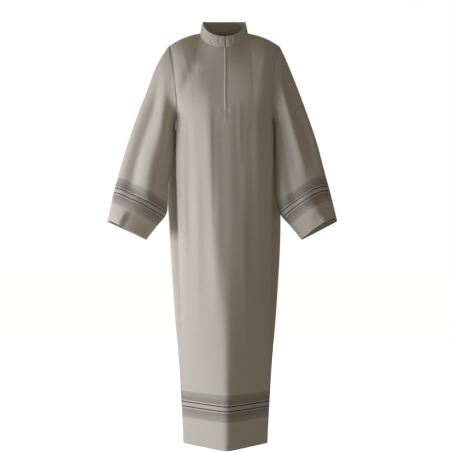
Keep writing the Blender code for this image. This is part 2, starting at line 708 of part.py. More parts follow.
def build():
    clear_scene()
    grids = sewn_pieces()
    collar()
    collar_tab()
    fly(grids["front"][0])


build()
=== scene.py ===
"""An alb in ivory cloth: a full-length robe with a stand collar, a short covered opening in front,
wide sleeves with a grey and dark striped band near each cuff and at the hem, and side vents.

Frame: +Z up, the front faces -Y and +X is the wearer's left. The origin is the middle of the neck's
base. All sizes are in metres."""

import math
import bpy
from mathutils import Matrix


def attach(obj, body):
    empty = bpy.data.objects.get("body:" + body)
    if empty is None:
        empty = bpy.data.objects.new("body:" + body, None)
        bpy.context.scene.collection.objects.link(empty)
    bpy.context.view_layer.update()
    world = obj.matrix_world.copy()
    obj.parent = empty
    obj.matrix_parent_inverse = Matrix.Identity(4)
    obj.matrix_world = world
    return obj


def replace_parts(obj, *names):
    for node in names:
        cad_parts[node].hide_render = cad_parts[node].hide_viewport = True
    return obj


bl_info = {
    "name": "Alb robe",
    "version": (1, 0, 0),
    "blender": (4, 5, 0),
    "location": "3D View > Sidebar > Alb",
    "description": "Cuts, sews and hangs an ivory alb with striped bands",
    "category": "Object",
}

import bmesh
import bpy
import numpy as np
from mathutils import Matrix, Vector

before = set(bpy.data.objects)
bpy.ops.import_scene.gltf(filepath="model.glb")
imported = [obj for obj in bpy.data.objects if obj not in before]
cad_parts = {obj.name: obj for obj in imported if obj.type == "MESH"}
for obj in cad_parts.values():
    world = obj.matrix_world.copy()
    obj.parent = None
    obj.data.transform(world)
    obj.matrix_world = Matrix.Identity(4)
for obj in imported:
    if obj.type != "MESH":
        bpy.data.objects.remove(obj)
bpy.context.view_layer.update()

# Neckline, shoulders and armholes
NECK_HALF_WIDTH = 0.087
NECK_FRONT_Y, NECK_FRONT_Z = -0.080, -0.067
NECK_BACK_Y, NECK_BACK_Z = 0.066, 0.012
SHOULDER_X, SHOULDER_Y, SHOULDER_Z = 0.203, 0.005, -0.048
SHOULDER_ARCH = 0.008
UNDERARM_Z = -0.320
YOKE_FOOT_Z = -0.340
HEM_Z = -1.490
ARMHOLE_FRONT_DEPTH, ARMHOLE_BACK_DEPTH = 0.072, 0.068
ARMHOLE_SCOOP = 0.012
UNDERARM_POINT = 0.8

# How the upper part of a panel follows the armholes, comes down and lies flat beside them
FRONT_YOKE = {"reach": 1.0, "fall": 2.0, "flattened": 0.0, "lead": 1.0}
BACK_YOKE = {"reach": 1.2, "fall": 3.0, "flattened": 0.6, "lead": 0.5}

# Shares of a panel's upper edge: each shoulder seam, and the neckline between them
SHOULDER_SHARE = 11.0 / 38.0

# Extra lines of a grid of cloth points beside a seam, the hem and a cuff, and how far from a seam the
# cloth turns in
BESIDE_EDGE = (0.0, 0.0008, 0.0018, 0.0032, 0.0055)
BESIDE_HEM = (0.004, 0.002, 0.0008, 0.0)
BESIDE_CUFF = (0.0045, 0.002, 0.0008, 0.0)
SEAM_ROLL_REACH = 0.0028

# How many lines the grids have, and the lengths over which they are spread
PANEL_COLUMNS, YOKE_ROWS, SKIRT_ROWS = 150, 60, 136
SLEEVE_ROWS, SLEEVE_POINTS_ROUND = 128, 121
PANEL_WIDTH, YOKE_DEPTH, SLEEVE_LENGTH = 0.44, 0.28, 0.60
YOKE_FIRST_SHARE, SLEEVE_FIRST_SHARE = 0.032, 0.016

# How the front's turn at the underarm is softened: the number of passes, how far in from the side
# edges it begins as a share of the width, and how far up and down it reaches
EASE_PASSES, EASE_INSET, EASE_REACH = 90, 0.05, 0.07

# The body's outline level by level: the front's ridge, the side edges, and then the points of the
# back from the valley behind a side edge over the flank, quarter and trough to the middle
BODY_COLUMNS = ("z", "middle", "ridge_x", "ridge_y", "round", "edge_x", "edge_y", "valley_x", "valley_y",
                "left_flank_x", "right_flank_x", "flank_y", "quarter_x", "quarter_y", "trough_x",
                "left_trough_y", "right_trough_y", "back_x", "back_y")
BODY_LEVELS = (
    (-0.320, 0.002, 0.002, -0.132, 1.00, 0.1755, -0.034, 0.168, 0.012, 0.164, 0.164, 0.046,
     0.132, 0.096, 0.070, 0.121, 0.121, 0.000, 0.127),
    (-0.360, 0.002, 0.004, -0.1335, 0.975, 0.1765, -0.041, 0.163, 0.010, 0.184, 0.186, 0.049,
     0.137, 0.102, 0.070, 0.120, 0.1205, -0.001, 0.129),
    (-0.410, 0.002, 0.006, -0.135, 0.94, 0.1765, -0.047, 0.156, 0.006, 0.195, 0.200, 0.051,
     0.141, 0.108, 0.070, 0.119, 0.120, -0.002, 0.131),
    (-0.500, 0.002, 0.008, -0.138, 0.85, 0.1755, -0.051, 0.148, 0.004, 0.203, 0.2115, 0.046,
     0.146, 0.117, 0.070, 0.113, 0.116, -0.004, 0.136),
    (-0.720, 0.004, 0.009, -0.141, 0.55, 0.171, -0.052, 0.128, 0.002, 0.205, 0.2065, 0.044,
     0.148, 0.125, 0.070, 0.098, 0.106, -0.007, 0.142),
    (-1.000, 0.005, 0.010, -0.143, 0.25, 0.163, -0.050, 0.112, 0.000, 0.190, 0.190, 0.048,
     0.143, 0.130, 0.068, 0.080, 0.092, -0.009, 0.147),
    (-1.250, 0.005, 0.010, -0.148, 0.08, 0.160, -0.046, 0.098, -0.003, 0.170, 0.170, 0.050,
     0.134, 0.132, 0.065, 0.067, 0.081, -0.010, 0.150),
    (-1.490, 0.005, 0.010, -0.158, 0.00, 0.153, -0.040, 0.088, -0.005, 0.156, 0.156, 0.050,
     0.128, 0.132, 0.063, 0.058, 0.073, -0.010, 0.152),
)

# The front's ridge: its tip is rounded over this share of the half width, and the chest is a dome
RIDGE_TIP = 0.09
DOME_SQUARENESS, DOME_FULLNESS = 2.4, 0.72

# Folds of the front and back panels, seen from outside: where each starts and ends, its width, and
# how far it stands out (+) or sinks in (-). The large ones come first, then the fine creases.
FOLD_COLUMNS = ("x_top", "z_top", "x_end", "z_end", "width", "height")
FRONT_FOLDS = (
    (-0.060, -0.180, -0.014, -1.150, 0.028, 0.010),
    (-0.105, -0.120, -0.165, -0.270, 0.022, -0.0066),
    (-0.128, -0.260, -0.120, -0.900, 0.018, -0.006),
    (0.060, -0.220, 0.050, -0.760, 0.024, -0.004),
    (0.130, -0.150, 0.118, -0.620, 0.026, 0.004),
    (0.095, -0.240, 0.100, -0.980, 0.022, -0.004),
    (-0.036, -0.240, -0.030, -0.820, 0.010, -0.0020),
    (0.056, -0.235, 0.055, -0.520, 0.009, 0.0016),
    (-0.090, -0.470, -0.094, -1.180, 0.014, 0.0016),
    (0.072, -0.640, 0.078, -1.260, 0.016, 0.0016),
    (-0.143, -0.560, -0.135, -1.020, 0.009, 0.0014),
    (0.140, -0.300, 0.139, -0.760, 0.010, -0.0018),
    (-0.150, -0.075, -0.118, -0.185, 0.010, 0.0016),
    (0.150, -0.080, 0.128, -0.190, 0.011, 0.0014),
)
BACK_FOLDS = (
    (0.000, -0.060, 0.000, -0.420, 0.040, -0.006),
    (-0.095, -0.120, -0.110, -0.520, 0.030, 0.006),
    (0.095, -0.140, 0.110, -0.500, 0.030, 0.006),
    (-0.040, -0.220, -0.046, -0.760, 0.012, 0.0022),
    (0.048, -0.260, 0.040, -0.700, 0.010, -0.0018),
    (0.118, -0.560, 0.110, -1.080, 0.012, 0.0016),
    (-0.112, -0.640, -0.104, -1.200, 0.014, -0.0016),
)

# How quickly the folds grow from nothing at a panel's side edges
FOLD_EASE = 4.5

# The small puckers where the covered opening is tacked at its foot, in the same columns
CLOSING_PUCKERS = (
    (-0.014, -0.288, -0.010, -0.320, 0.0026, 0.0013),
    (0.025, -0.282, 0.021, -0.316, 0.0024, 0.0012),
    (0.005, -0.298, 0.006, -0.340, 0.0028, 0.0020),
    (-0.003, -0.288, 0.000, -0.322, 0.0022, -0.0010),
    (0.014, -0.284, 0.012, -0.318, 0.0024, -0.0011),
)

# A sleeve's outline ring by ring, from the armhole to the cuff
SLEEVE_COLUMNS = ("right_out_x", "left_out_x", "out_z", "right_in_x", "left_in_x", "in_z", "mid_y",
                  "front", "back")
SLEEVE_RINGS = (
    (0.203, 0.203, -0.048, 0.176, 0.176, -0.320, -0.0140, 0.068, 0.068),
    (0.248, 0.237, -0.130, 0.1765, 0.1805, -0.375, -0.017, 0.061, 0.065),
    (0.280, 0.271, -0.216, 0.1785, 0.1805, -0.430, -0.020, 0.056, 0.058),
    (0.314, 0.303, -0.304, 0.187, 0.182, -0.490, -0.024, 0.053, 0.052),
    (0.344, 0.333, -0.392, 0.203, 0.184, -0.545, -0.028, 0.051, 0.048),
    (0.368, 0.354, -0.470, 0.204, 0.185, -0.592, -0.032, 0.050, 0.046),
    (0.386, 0.371, -0.538, 0.204, 0.191, -0.630, -0.037, 0.050, 0.045),
    (0.396, 0.381, -0.575, 0.210, 0.204, -0.666, -0.040, 0.051, 0.045),
    (0.408, 0.394, -0.632, 0.245, 0.243, -0.710, -0.044, 0.055, 0.052),
    (0.420, 0.407, -0.690, 0.281, 0.280, -0.756, -0.048, 0.060, 0.058),
)

# The shares of a sleeve's length over which it leaves the armhole and over which its rings stay
# pointed at the underarm, and the tilt of the cuffs' edges
SET_IN_SHARE = 1.0 / 14.0
POINTED_SHARE = 0.35
CUFF_FRONT_RISE = {"right": 0.010, "left": 0.024}
CUFF_TILT = 0.35
CUFF_BACK_DROP = 0.004

# Folds of a sleeve: the angle round it at the top and at the end (0 at the outer line, 90 at the
# front, 270 at the back), the stretch of its length from 0 to 1, width in degrees and height
SLEEVE_FOLD_COLUMNS = ("angle_top", "angle_end", "start", "end", "width", "height")
RIGHT_SLEEVE_FOLDS = (
    (100.0, 103.0, 0.04, 0.92, 19.0, 0.017),
    (98.0, 60.0, 0.72, 1.08, 17.0, 0.011),
    (142.0, 146.0, 0.02, 0.90, 14.0, -0.006),
    (62.0, 60.0, 0.04, 0.84, 19.0, -0.015),
    (250.0, 262.0, 0.03, 0.92, 18.0, -0.011),
    (292.0, 300.0, 0.05, 0.90, 18.0, 0.008),
    (78.0, 84.0, 0.30, 0.90, 8.0, 0.0016),
    (122.0, 124.0, 0.20, 0.86, 9.0, 0.0020),
    (88.0, 84.0, 0.84, 1.06, 7.0, -0.0040),
    (74.0, 76.0, 0.88, 1.07, 5.0, 0.0024),
    (274.0, 280.0, 0.20, 0.85, 9.0, -0.0026),
)
LEFT_SLEEVE_FOLDS = (
    (86.0, 76.0, 0.02, 0.66, 10.0, 0.007),
    (60.0, 47.0, 0.03, 0.60, 12.0, -0.012),
    (120.0, 112.0, 0.03, 0.92, 16.0, -0.010),
    (84.0, 100.0, 0.66, 1.00, 20.0, 0.010),
    (248.0, 260.0, 0.03, 0.92, 18.0, -0.011),
    (290.0, 300.0, 0.05, 0.90, 18.0, 0.008),
    (36.0, 30.0, 0.12, 0.72, 9.0, 0.0034),
    (102.0, 96.0, 0.16, 0.60, 8.0, -0.0028),
    (134.0, 126.0, 0.30, 0.90, 9.0, 0.0028),
    (56.0, 58.0, 0.78, 1.04, 12.0, -0.0044),
    (84.0, 76.0, 0.80, 1.07, 9.0, 0.0044),
    (270.0, 276.0, 0.20, 0.85, 9.0, -0.0026),
)

# The collar: it runs round the neck from its outer end, in degrees from the front's middle, and steps
# in under that end
COLLAR_HEIGHT = 0.041
COLLAR_FOOT = -0.0022
COLLAR_LEAN = 0.009
COLLAR_THICKNESS = 0.0026
COLLAR_PUFF = 0.0006
COLLAR_END_ANGLE = 6.0
COLLAR_LAST_ANGLE = 396.0
COLLAR_STEP_ANGLE = 362.2
COLLAR_STEP_LENGTH = 2.0
LAYER_GAP = 0.0008
SEAM_GAP = 0.0003

# Soft dents of the collar and its tab: the turn in degrees and the height where each starts and ends,
# its width in degrees and its depth
DENT_COLUMNS = ("turn_low", "turn_high", "low", "high", "width", "depth")
COLLAR_DENTS = (
    (352.0, 346.0, 0.004, 0.034, 3.0, 0.0011),
    (341.0, 344.0, 0.010, 0.040, 3.4, -0.0008),
    (331.0, 322.0, 0.002, 0.024, 4.5, 0.0009),
    (304.0, 312.0, 0.012, 0.040, 6.0, 0.0009),
    (52.0, 46.0, 0.004, 0.036, 4.0, 0.0009),
    (70.0, 78.0, 0.010, 0.040, 6.0, -0.0008),
    (118.0, 104.0, 0.002, 0.030, 7.0, 0.0010),
    (168.0, 178.0, 0.006, 0.040, 8.0, 0.0009),
    (226.0, 214.0, 0.002, 0.034, 7.0, 0.0010),
    (262.0, 268.0, 0.010, 0.040, 6.0, -0.0008),
)
TAB_DENTS = (
    (29.4, 26.6, -0.006, 0.048, 2.2, 0.0025),
    (17.5, 21.0, 0.006, 0.036, 3.4, 0.0014),
    (12.5, 11.0, 0.020, 0.046, 2.6, 0.0010),
    (24.5, 24.0, 0.014, 0.046, 2.6, -0.0012),
    (12.0, 17.0, -0.004, 0.018, 3.2, -0.0012),
)

# The tab on the collar's outer end, and its rows of stitches
TAB_LAST_ANGLE = 33.75
TAB_THICKNESS = 0.0014
TAB_SWELL = 0.0006
TAB_PUFF = 0.0012
TAB_CORNER = 0.008
TAB_FOOT, TAB_TOP = 0.0013, COLLAR_HEIGHT - 0.0010
TAB_STITCH_INSET, TAB_STITCH_TURN = 0.003, 2.2
TAB_SEAM_INSET, TAB_SEAM_TURN = 0.002, 1.0
TAB_LOW_STITCH_TURN = 12.0

# How a strip's points are spread over its height, and the groove that its stitching pulls in
STRIP_POINTS = 24
GROOVE_DEPTH, GROOVE_INSET, GROOVE_WIDTH = 0.0004, 0.0035, 0.0012

# The folded strip over the opening: it rises from the front to its folded edge, and its lines lie
# closer together towards that edge
FLY_WIDTH = 0.022
FLY_EDGE_X = 0.006
FLY_BOTTOM_Z = -0.300
FLY_THICKNESS = 0.0014
FLY_LENGTH = 0.24
FLY_TOP_GAP = 0.0012
FLY_SINK, FLY_BASE_DEPTH = 0.0005, 0.0009
FLY_RISE_START, FLY_RISE_SHARE = 0.62, 0.34
FLY_EDGE_REACH = 0.0002
FLY_STATIONS, FLY_POINTS = 110, 20
FLY_CROWDING = 1.7
FLY_FOOT_LIFT, FLY_FOOT_EASE = 0.25, 24.0
NEARBY_COLUMNS = 6

# Stitches at the foot of the opening, as the start, end and height of each bar, and in the collar's gap
TACK_BARS = ((-0.002, 0.008, -0.3005), (-0.001, 0.007, -0.3035))
GAP_STITCH_HEIGHTS = (0.006, 0.017, 0.030)
GAP_STITCH_TURNS = (361.5, 365.5)

# The side vents
VENT_HEIGHT = 0.165
VENT_OPENING = 0.004
VENT_REACH = 0.02

# The striped band, as shares of its width from its middle: the dark lines lie between the first two,
# the grey stripes begin at the third. Then the spacing of its ribs and of the twill's lines.
DARK_FROM, DARK_TO, GREY_FROM = 0.068, 0.109, 0.163
GREY_AT_EDGE = 0.34
RIB_SPACING, TWILL_SPACING = 0.0021, 0.0034

# The camera of the reference view, and the point that the lights face
CAMERA_PLACE = (0.007, -3.2, -0.706)
CAMERA_LENS = 69.65
LIGHT_TARGET = (0.0, 0.0, -0.75)


class AlbCloth(bpy.types.PropertyGroup):
    """Sizes of the cloth and its sewing."""

    thickness: bpy.props.FloatProperty(
        name="Cloth thickness", description="Thickness of the shell of cloth", default=0.0012,
        min=0.0005, max=0.003, unit="LENGTH")
    seam_roll: bpy.props.FloatProperty(
        name="Seam roll", description="How far the cloth turns in at a seam", default=0.0011,
        min=0.0, max=0.003, unit="LENGTH")
    stitch_length: bpy.props.FloatProperty(
        name="Stitch length", description="Length of one visible stitch", default=0.0026,
        min=0.001, max=0.006, unit="LENGTH")
    thread: bpy.props.FloatProperty(
        name="Thread pitch", description="Distance from one woven thread to the next", default=0.0007,
        min=0.0003, max=0.002, unit="LENGTH")


class AlbColours(bpy.types.PropertyGroup):
    """Colours of the cloth and of the striped band."""

    ivory: bpy.props.FloatVectorProperty(
        name="Ivory", description="Colour of the plain cloth", default=(0.62, 0.56, 0.488),
        min=0.0, max=1.0, size=3, subtype="COLOR")
    grey: bpy.props.FloatVectorProperty(
        name="Grey", description="Colour of the band's two wide stripes", default=(0.248, 0.220, 0.205),
        min=0.0, max=1.0, size=3, subtype="COLOR")
    dark: bpy.props.FloatVectorProperty(
        name="Dark", description="Colour of the band's two thin stripes", default=(0.080, 0.066, 0.058),
        min=0.0, max=1.0, size=3, subtype="COLOR")
    pale: bpy.props.FloatVectorProperty(
        name="Pale", description="Colour of the band's light stripes", default=(0.60, 0.55, 0.49),
        min=0.0, max=1.0, size=3, subtype="COLOR")


class AlbBand(bpy.types.PropertyGroup):
    """Place and width of the striped bands."""

    hem_start: bpy.props.FloatProperty(
        name="Above the hem", description="Distance from the hem up to the band", default=0.097,
        min=0.0, max=0.5, unit="LENGTH")
    cuff_start: bpy.props.FloatProperty(
        name="Above the cuff", description="Distance from the cuff's edge up to the band", default=0.065,
        min=0.0, max=0.3, unit="LENGTH")
    width: bpy.props.FloatProperty(
        name="Band width", description="Whole width of the striped band", default=0.095,
        min=0.02, max=0.3, unit="LENGTH")


class AlbStage(bpy.types.PropertyGroup):
    """Lights and floor."""

    key_power: bpy.props.FloatProperty(
        name="Key light", description="Power of the large soft light at the left", default=80.0,
        min=0.0, unit="POWER")
    fill_power: bpy.props.FloatProperty(
        name="Fill light", description="Power of the low soft light in front", default=5.0,
        min=0.0, unit="POWER")
    back_power: bpy.props.FloatProperty(
        name="Back light", description="Power of the soft light behind", default=26.0,
        min=0.0, unit="POWER")
    ambient: bpy.props.FloatProperty(
        name="Light all round", description="Strength of the dim light from all round", default=0.190,
        min=0.0, max=2.0)
    floor_z: bpy.props.FloatProperty(
        name="Floor height", description="Height of the floor under the hem", default=-1.56,
        unit="LENGTH")


def smooth_steps(t):
    """0 to 1 with level ends."""
    t = np.clip(t, 0.0, 1.0)
    return t * t * (3.0 - 2.0 * t)


def spline_through(points, steps):
    """Catmull-Rom curve through the points, with that many steps from each point to the next."""
    points = np.asarray(points, float)
    padded = np.vstack((2.0 * points[0] - points[1], points, 2.0 * points[-1] - points[-2]))
    share = np.arange(steps)[:, None] / steps
    parts = []
    for i in range(len(points) - 1):
        p0, p1, p2, p3 = padded[i:i + 4]
        parts.append(0.5 * (2.0 * p1 + (p2 - p0) * share + (2.0 * p0 - 5.0 * p1 + 4.0 * p2 - p3) * share ** 2
                            + (3.0 * p1 - p0 - 3.0 * p2 + p3) * share ** 3))
    return np.vstack(parts + [points[-1:]])


def reached_along(points):
    """The distance along a line of points, from the first one to each."""
    return np.concatenate(([0.0], np.cumsum(np.linalg.norm(np.diff(points, axis=0), axis=1))))


def point_at(points, marks, mark):
    """The point of a line where its marks, one for each of its points, reach that value."""
    return np.array([np.interp(mark, marks, points[:, k]) for k in range(3)])


def spread_along(curve, shares):
    """Points of the curve at shares of its length."""
    lengths = reached_along(curve)
    return np.column_stack([np.interp(shares * lengths[-1], lengths, curve[:, k])
                            for k in range(curve.shape[1])])


def body_level(z):
    """The body's sizes at height z, eased between the two levels around it."""
    table = np.array(BODY_LEVELS)
    keys = table[:, 0]
    slopes = np.gradient(table, keys, axis=0)
    upper = int(np.clip(np.searchsorted(-keys, -z, side="right") - 1, 0, len(keys) - 2))
    span = keys[upper + 1] - keys[upper]
    t = (z - keys[upper]) / span
    row = ((2 * t ** 3 - 3 * t ** 2 + 1) * table[upper] + (t ** 3 - 2 * t ** 2 + t) * span * slopes[upper]
           + (3 * t ** 2 - 2 * t ** 3) * table[upper + 1] + (t ** 3 - t ** 2) * span * slopes[upper + 1])
    return dict(zip(BODY_COLUMNS, row))


def front_row(z, across):
    """The front panel's line at height z, for shares across it from the right side to the left."""
    level = body_level(z)
    u = 2.0 * across - 1.0
    s = np.abs(u)
    rounded = level["round"]
    along = (1.0 - rounded) * s + rounded * np.sin(0.5 * math.pi * s)
    vee = 1.0 - (np.hypot(s, RIDGE_TIP) - RIDGE_TIP) / (math.hypot(1.0, RIDGE_TIP) - RIDGE_TIP)
    dome = (1.0 - np.minimum(along, 1.0) ** DOME_SQUARENESS) ** DOME_FULLNESS
    edge_x = level["middle"] + np.sign(u) * level["edge_x"]
    x = level["ridge_x"] + (edge_x - level["ridge_x"]) * along
    y = level["edge_y"] + (level["ridge_y"] - level["edge_y"]) * ((1.0 - rounded) * vee + rounded * dome)
    return np.column_stack((x, y, np.full(len(across), z)))


def back_row(z, across):
    """The back panel's line at height z, for shares across it from the left side to the right."""
    level = body_level(z)
    sides = [("edge_x", "edge_y", "edge_x", "edge_y"), ("valley_x", "valley_y", "valley_x", "valley_y"),
             ("left_flank_x", "flank_y", "right_flank_x", "flank_y"),
             ("quarter_x", "quarter_y", "quarter_x", "quarter_y"),
             ("trough_x", "left_trough_y", "trough_x", "right_trough_y")]
    middle = level["middle"]
    keys = [(middle + level[x], level[y]) for x, y, _, _ in sides]
    keys.append((middle + level["back_x"], level["back_y"]))
    keys += [(middle - level[x], level[y]) for _, _, x, y in reversed(sides)]
    line = spread_along(spline_through(keys, 24), across)
    return np.column_stack((line, np.full(len(line), z)))


def neck_points(angles):
    """Points of the neckline: angle 0 is the front, half a turn is the nape."""
    ahead = np.cos(angles)
    y = np.where(ahead > 0.0, NECK_FRONT_Y, -NECK_BACK_Y) * ahead
    z = np.where(ahead > 0.0, NECK_FRONT_Z, -NECK_BACK_Z) * ahead
    return np.stack((NECK_HALF_WIDTH * np.sin(angles), y, z), axis=-1)


def shoulder_point(side):
    """The outer end of a shoulder seam; side is 1 on the wearer's left and -1 on the right."""
    return np.array((side * SHOULDER_X, SHOULDER_Y, SHOULDER_Z))


def underarm_point(side):
    """The lowest point of an armhole."""
    level = body_level(UNDERARM_Z)
    return np.array((level["middle"] + side * level["edge_x"], level["edge_y"], UNDERARM_Z))


def shoulder_seam(side, neck_end, share):
    """The shoulder seam from the shoulder point to the neckline, slightly arched."""
    line = shoulder_point(side) + (neck_end - shoulder_point(side)) * share[:, None]
    line[:, 2] += SHOULDER_ARCH * np.sin(math.pi * share)
    return line


def top_line(start_angle, across):
    """The upper edge of a body panel: one shoulder seam, half the neckline, the other seam."""
    neck_share = (across - SHOULDER_SHARE) / (1.0 - 2.0 * SHOULDER_SHARE)
    line = neck_points(start_angle + math.pi * np.clip(neck_share, 0.0, 1.0))
    ends = neck_points(start_angle + np.array((0.0, math.pi)))
    for first, end in ((True, ends[0]), (False, ends[1])):
        share = (across if first else 1.0 - across) / SHOULDER_SHARE
        on_seam = share < 1.0
        line[on_seam] = shoulder_seam(math.copysign(1.0, end[0]), end, share[on_seam])
    return line


def pointed_sine(angle, point):
    """The sine of an angle, drawn in towards half a turn, so that a ring ends in a point."""
    exponent = 1.0 + point * np.maximum(0.0, -np.cos(angle))
    return np.sign(np.sin(angle)) * np.abs(np.sin(angle)) ** exponent


def armhole_points(side, angles):
    """Points of the armhole ring: 0 is the shoulder point, a quarter turn the front."""
    top, low = shoulder_point(side), underarm_point(side)
    ahead = pointed_sine(angles, UNDERARM_POINT)
    depth = np.where(ahead > 0.0, ARMHOLE_FRONT_DEPTH, ARMHOLE_BACK_DEPTH)
    scoop = np.stack((-side * ARMHOLE_SCOOP * np.abs(ahead), -depth * ahead, 0.0 * ahead), axis=-1)
    return (top + low) / 2.0 + (top - low) / 2.0 * np.cos(angles)[..., None] + scoop


def yoke(across, down, start_angle, row_at, first_side, armhole_turn, shape):
    """A panel's part above the underarm: it hangs from its upper edge and follows the armholes."""
    top = top_line(start_angle, across)
    bottom, below = row_at(UNDERARM_Z, across), row_at(YOKE_FOOT_Z, across)
    near_first = np.abs(np.cos(math.pi * across)) ** (2.0 * shape["reach"]) * (across < 0.5)
    near_last = near_first[::-1]
    drop = top[:, 2] - bottom[:, 2]
    leaving = shape["lead"] * (below - bottom) * (drop / (bottom[:, 2] - below[:, 2]))[:, None]
    rows = []
    for v in down:
        hung = top + (bottom - top) * (1.0 - (1.0 - v) ** shape["fall"]) - leaving * v * (1.0 - v)
        hung[:, 2] = top[:, 2] + (bottom[:, 2] - top[:, 2]) * v
        row = hung.copy()
        turn = np.array(armhole_turn * math.pi * v)
        for near, side, end in ((near_first, first_side, hung[0]), (near_last, -first_side, hung[-1])):
            row += near[:, None] * (armhole_points(side, turn) - end)
            row[:, 1] += shape["flattened"] * math.sin(math.pi * v) * near ** 2 * (end[1] - hung[:, 1])
        rows.append(row)
    return np.array(rows)


def fold_lift(folds, x, z, start=4.0, end=2.5):
    """How far the folds lift the cloth at x, z; start and end say how quickly each comes and goes."""
    total = np.zeros(x.shape)
    for row in folds:
        fold = dict(zip(FOLD_COLUMNS, row))
        along = (fold["z_top"] - z) / (fold["z_top"] - fold["z_end"])
        centre = fold["x_top"] + (fold["x_end"] - fold["x_top"]) * along
        fade = smooth_steps(start * along) * smooth_steps(end * (1.0 - along))
        total += fold["height"] * fade * np.exp(-((x - centre) / fold["width"]) ** 2)
    return total


def edge_spaced(count, length):
    """Shares from 0 to 1 with extra ones beside both ends, for an edge of that length."""
    beside = np.array(BESIDE_EDGE) / length
    middle = np.linspace(beside[-1], 1.0 - beside[-1], count)
    return np.concatenate((beside[:-1], middle, (1.0 - beside[:-1])[::-1]))


def grid_normals(grid):
    """Outward unit normals at the points of a grid whose rows run down and columns to the right."""
    across = np.gradient(grid, axis=1)
    down = np.gradient(grid, axis=0)
    normals = np.cross(down, across)
    return normals / np.maximum(np.linalg.norm(normals, axis=2), 1e-12)[..., None]


def lengths_along(grid, axis):
    """The distance from the grid's first line to each point, along that axis."""
    steps = np.linalg.norm(np.diff(grid, axis=axis), axis=2)
    nothing = np.zeros_like(np.take(steps, [0], axis=axis))
    return np.concatenate((nothing, np.cumsum(steps, axis=axis)), axis=axis)


def rolled_edges(grid, depth, top=True, sides=True):
    """The grid with the cloth beside its seams turned in by depth."""
    distances = []
    if top:
        distances.append(lengths_along(grid, 0))
    if sides:
        from_first = lengths_along(grid, 1)
        distances += [from_first, from_first[:, -1:] - from_first]
    turned = np.max([np.exp(-(distance / SEAM_ROLL_REACH) ** 2) for distance in distances], axis=0)
    return grid - grid_normals(grid) * (depth * turned)[..., None]


def woven_places(grid):
    """UV places in metres: across the cloth from its middle column, and up from its lower edge."""
    across = lengths_along(grid, 1)
    across -= across[:, across.shape[1] // 2][:, None]
    down = lengths_along(grid, 0)
    return np.stack((across, down[-1] - down), axis=-1)


def panel(start_angle, row_at, first_side, armhole_turn, shape):
    """A body panel from its upper edge to the hem."""
    across = edge_spaced(PANEL_COLUMNS, PANEL_WIDTH)
    down = np.concatenate((np.array(BESIDE_EDGE) / YOKE_DEPTH, np.linspace(YOKE_FIRST_SHARE, 1.0, YOKE_ROWS)))
    upper = yoke(across, down, start_angle, row_at, first_side, armhole_turn, shape)
    heights = np.linspace(UNDERARM_Z, HEM_Z, SKIRT_ROWS)[1:-1]
    heights = np.concatenate((heights, HEM_Z + np.array(BESIDE_HEM)))
    return np.concatenate((upper, [row_at(z, across) for z in heights]))


def edge_inset(grid):
    """Share of a panel's width from each point to the nearer side edge."""
    share = np.linspace(0.0, 1.0, grid.shape[1])
    return np.minimum(share, 1.0 - share)[None, :]


def eased_at_underarm(grid):
    """The panel with the turn at the underarm's height softened, and its side edges left in place."""
    heights = grid[..., 2]
    share = 0.5 * smooth_steps(edge_inset(grid) / EASE_INSET)
    share = share * np.exp(-((heights - UNDERARM_Z) / EASE_REACH) ** 2)
    place = (heights[1:-1] - heights[:-2]) / np.minimum(heights[2:] - heights[:-2], -1e-6)
    for _ in range(EASE_PASSES):
        between = grid[:-2, :, 1] + (grid[2:, :, 1] - grid[:-2, :, 1]) * place
        grid[1:-1, :, 1] += share[1:-1] * (between - grid[1:-1, :, 1])
    return grid


def front_grid():
    """The front panel, from the right side edge to the left one."""
    grid = eased_at_underarm(panel(-0.5 * math.pi, front_row, -1.0, 1.0, FRONT_YOKE))
    x, z = grid[..., 0], grid[..., 2]
    grid[..., 1] -= smooth_steps(FOLD_EASE * edge_inset(grid)) * fold_lift(FRONT_FOLDS, x, z)
    grid[..., 1] -= fold_lift(CLOSING_PUCKERS, x, z, start=3.0, end=2.0)
    return grid


def back_grid():
    """The back panel, from the left side edge to the right one."""
    grid = panel(0.5 * math.pi, back_row, 1.0, -1.0, BACK_YOKE)
    lift = fold_lift(BACK_FOLDS, grid[..., 0], grid[..., 2])
    grid[..., 1] += smooth_steps(FOLD_EASE * edge_inset(grid)) * lift
    return grid


def open_vents(grid):
    """The back panel with its side edges drawn back below the top of the vents."""
    from_first = lengths_along(grid, 1)
    from_last = from_first[:, -1:] - from_first
    open_share = np.clip(1.0 - (grid[..., 2] - HEM_Z) / VENT_HEIGHT, 0.0, 1.0)
    across = np.gradient(grid, axis=1)
    across /= np.linalg.norm(across, axis=2)[..., None]
    nearness = np.exp(-(from_first / VENT_REACH) ** 2) - np.exp(-(from_last / VENT_REACH) ** 2)
    return grid + across * (VENT_OPENING * open_share * nearness)[..., None]


def sleeve_lift(folds, along, angle):
    """How far a sleeve's folds lift it, at a share of its length and angles in degrees."""
    total = np.zeros(angle.shape)
    for row in folds:
        fold = dict(zip(SLEEVE_FOLD_COLUMNS, row))
        share = (along - fold["start"]) / (fold["end"] - fold["start"])
        if not 0.0 < share < 1.0:
            continue
        centre = fold["angle_top"] + (fold["angle_end"] - fold["angle_top"]) * share
        fade = smooth_steps(4.0 * share) * smooth_steps(3.0 * (1.0 - share))
        total += fold["height"] * fade * np.exp(-((angle - centre) / fold["width"]) ** 2)
    return total


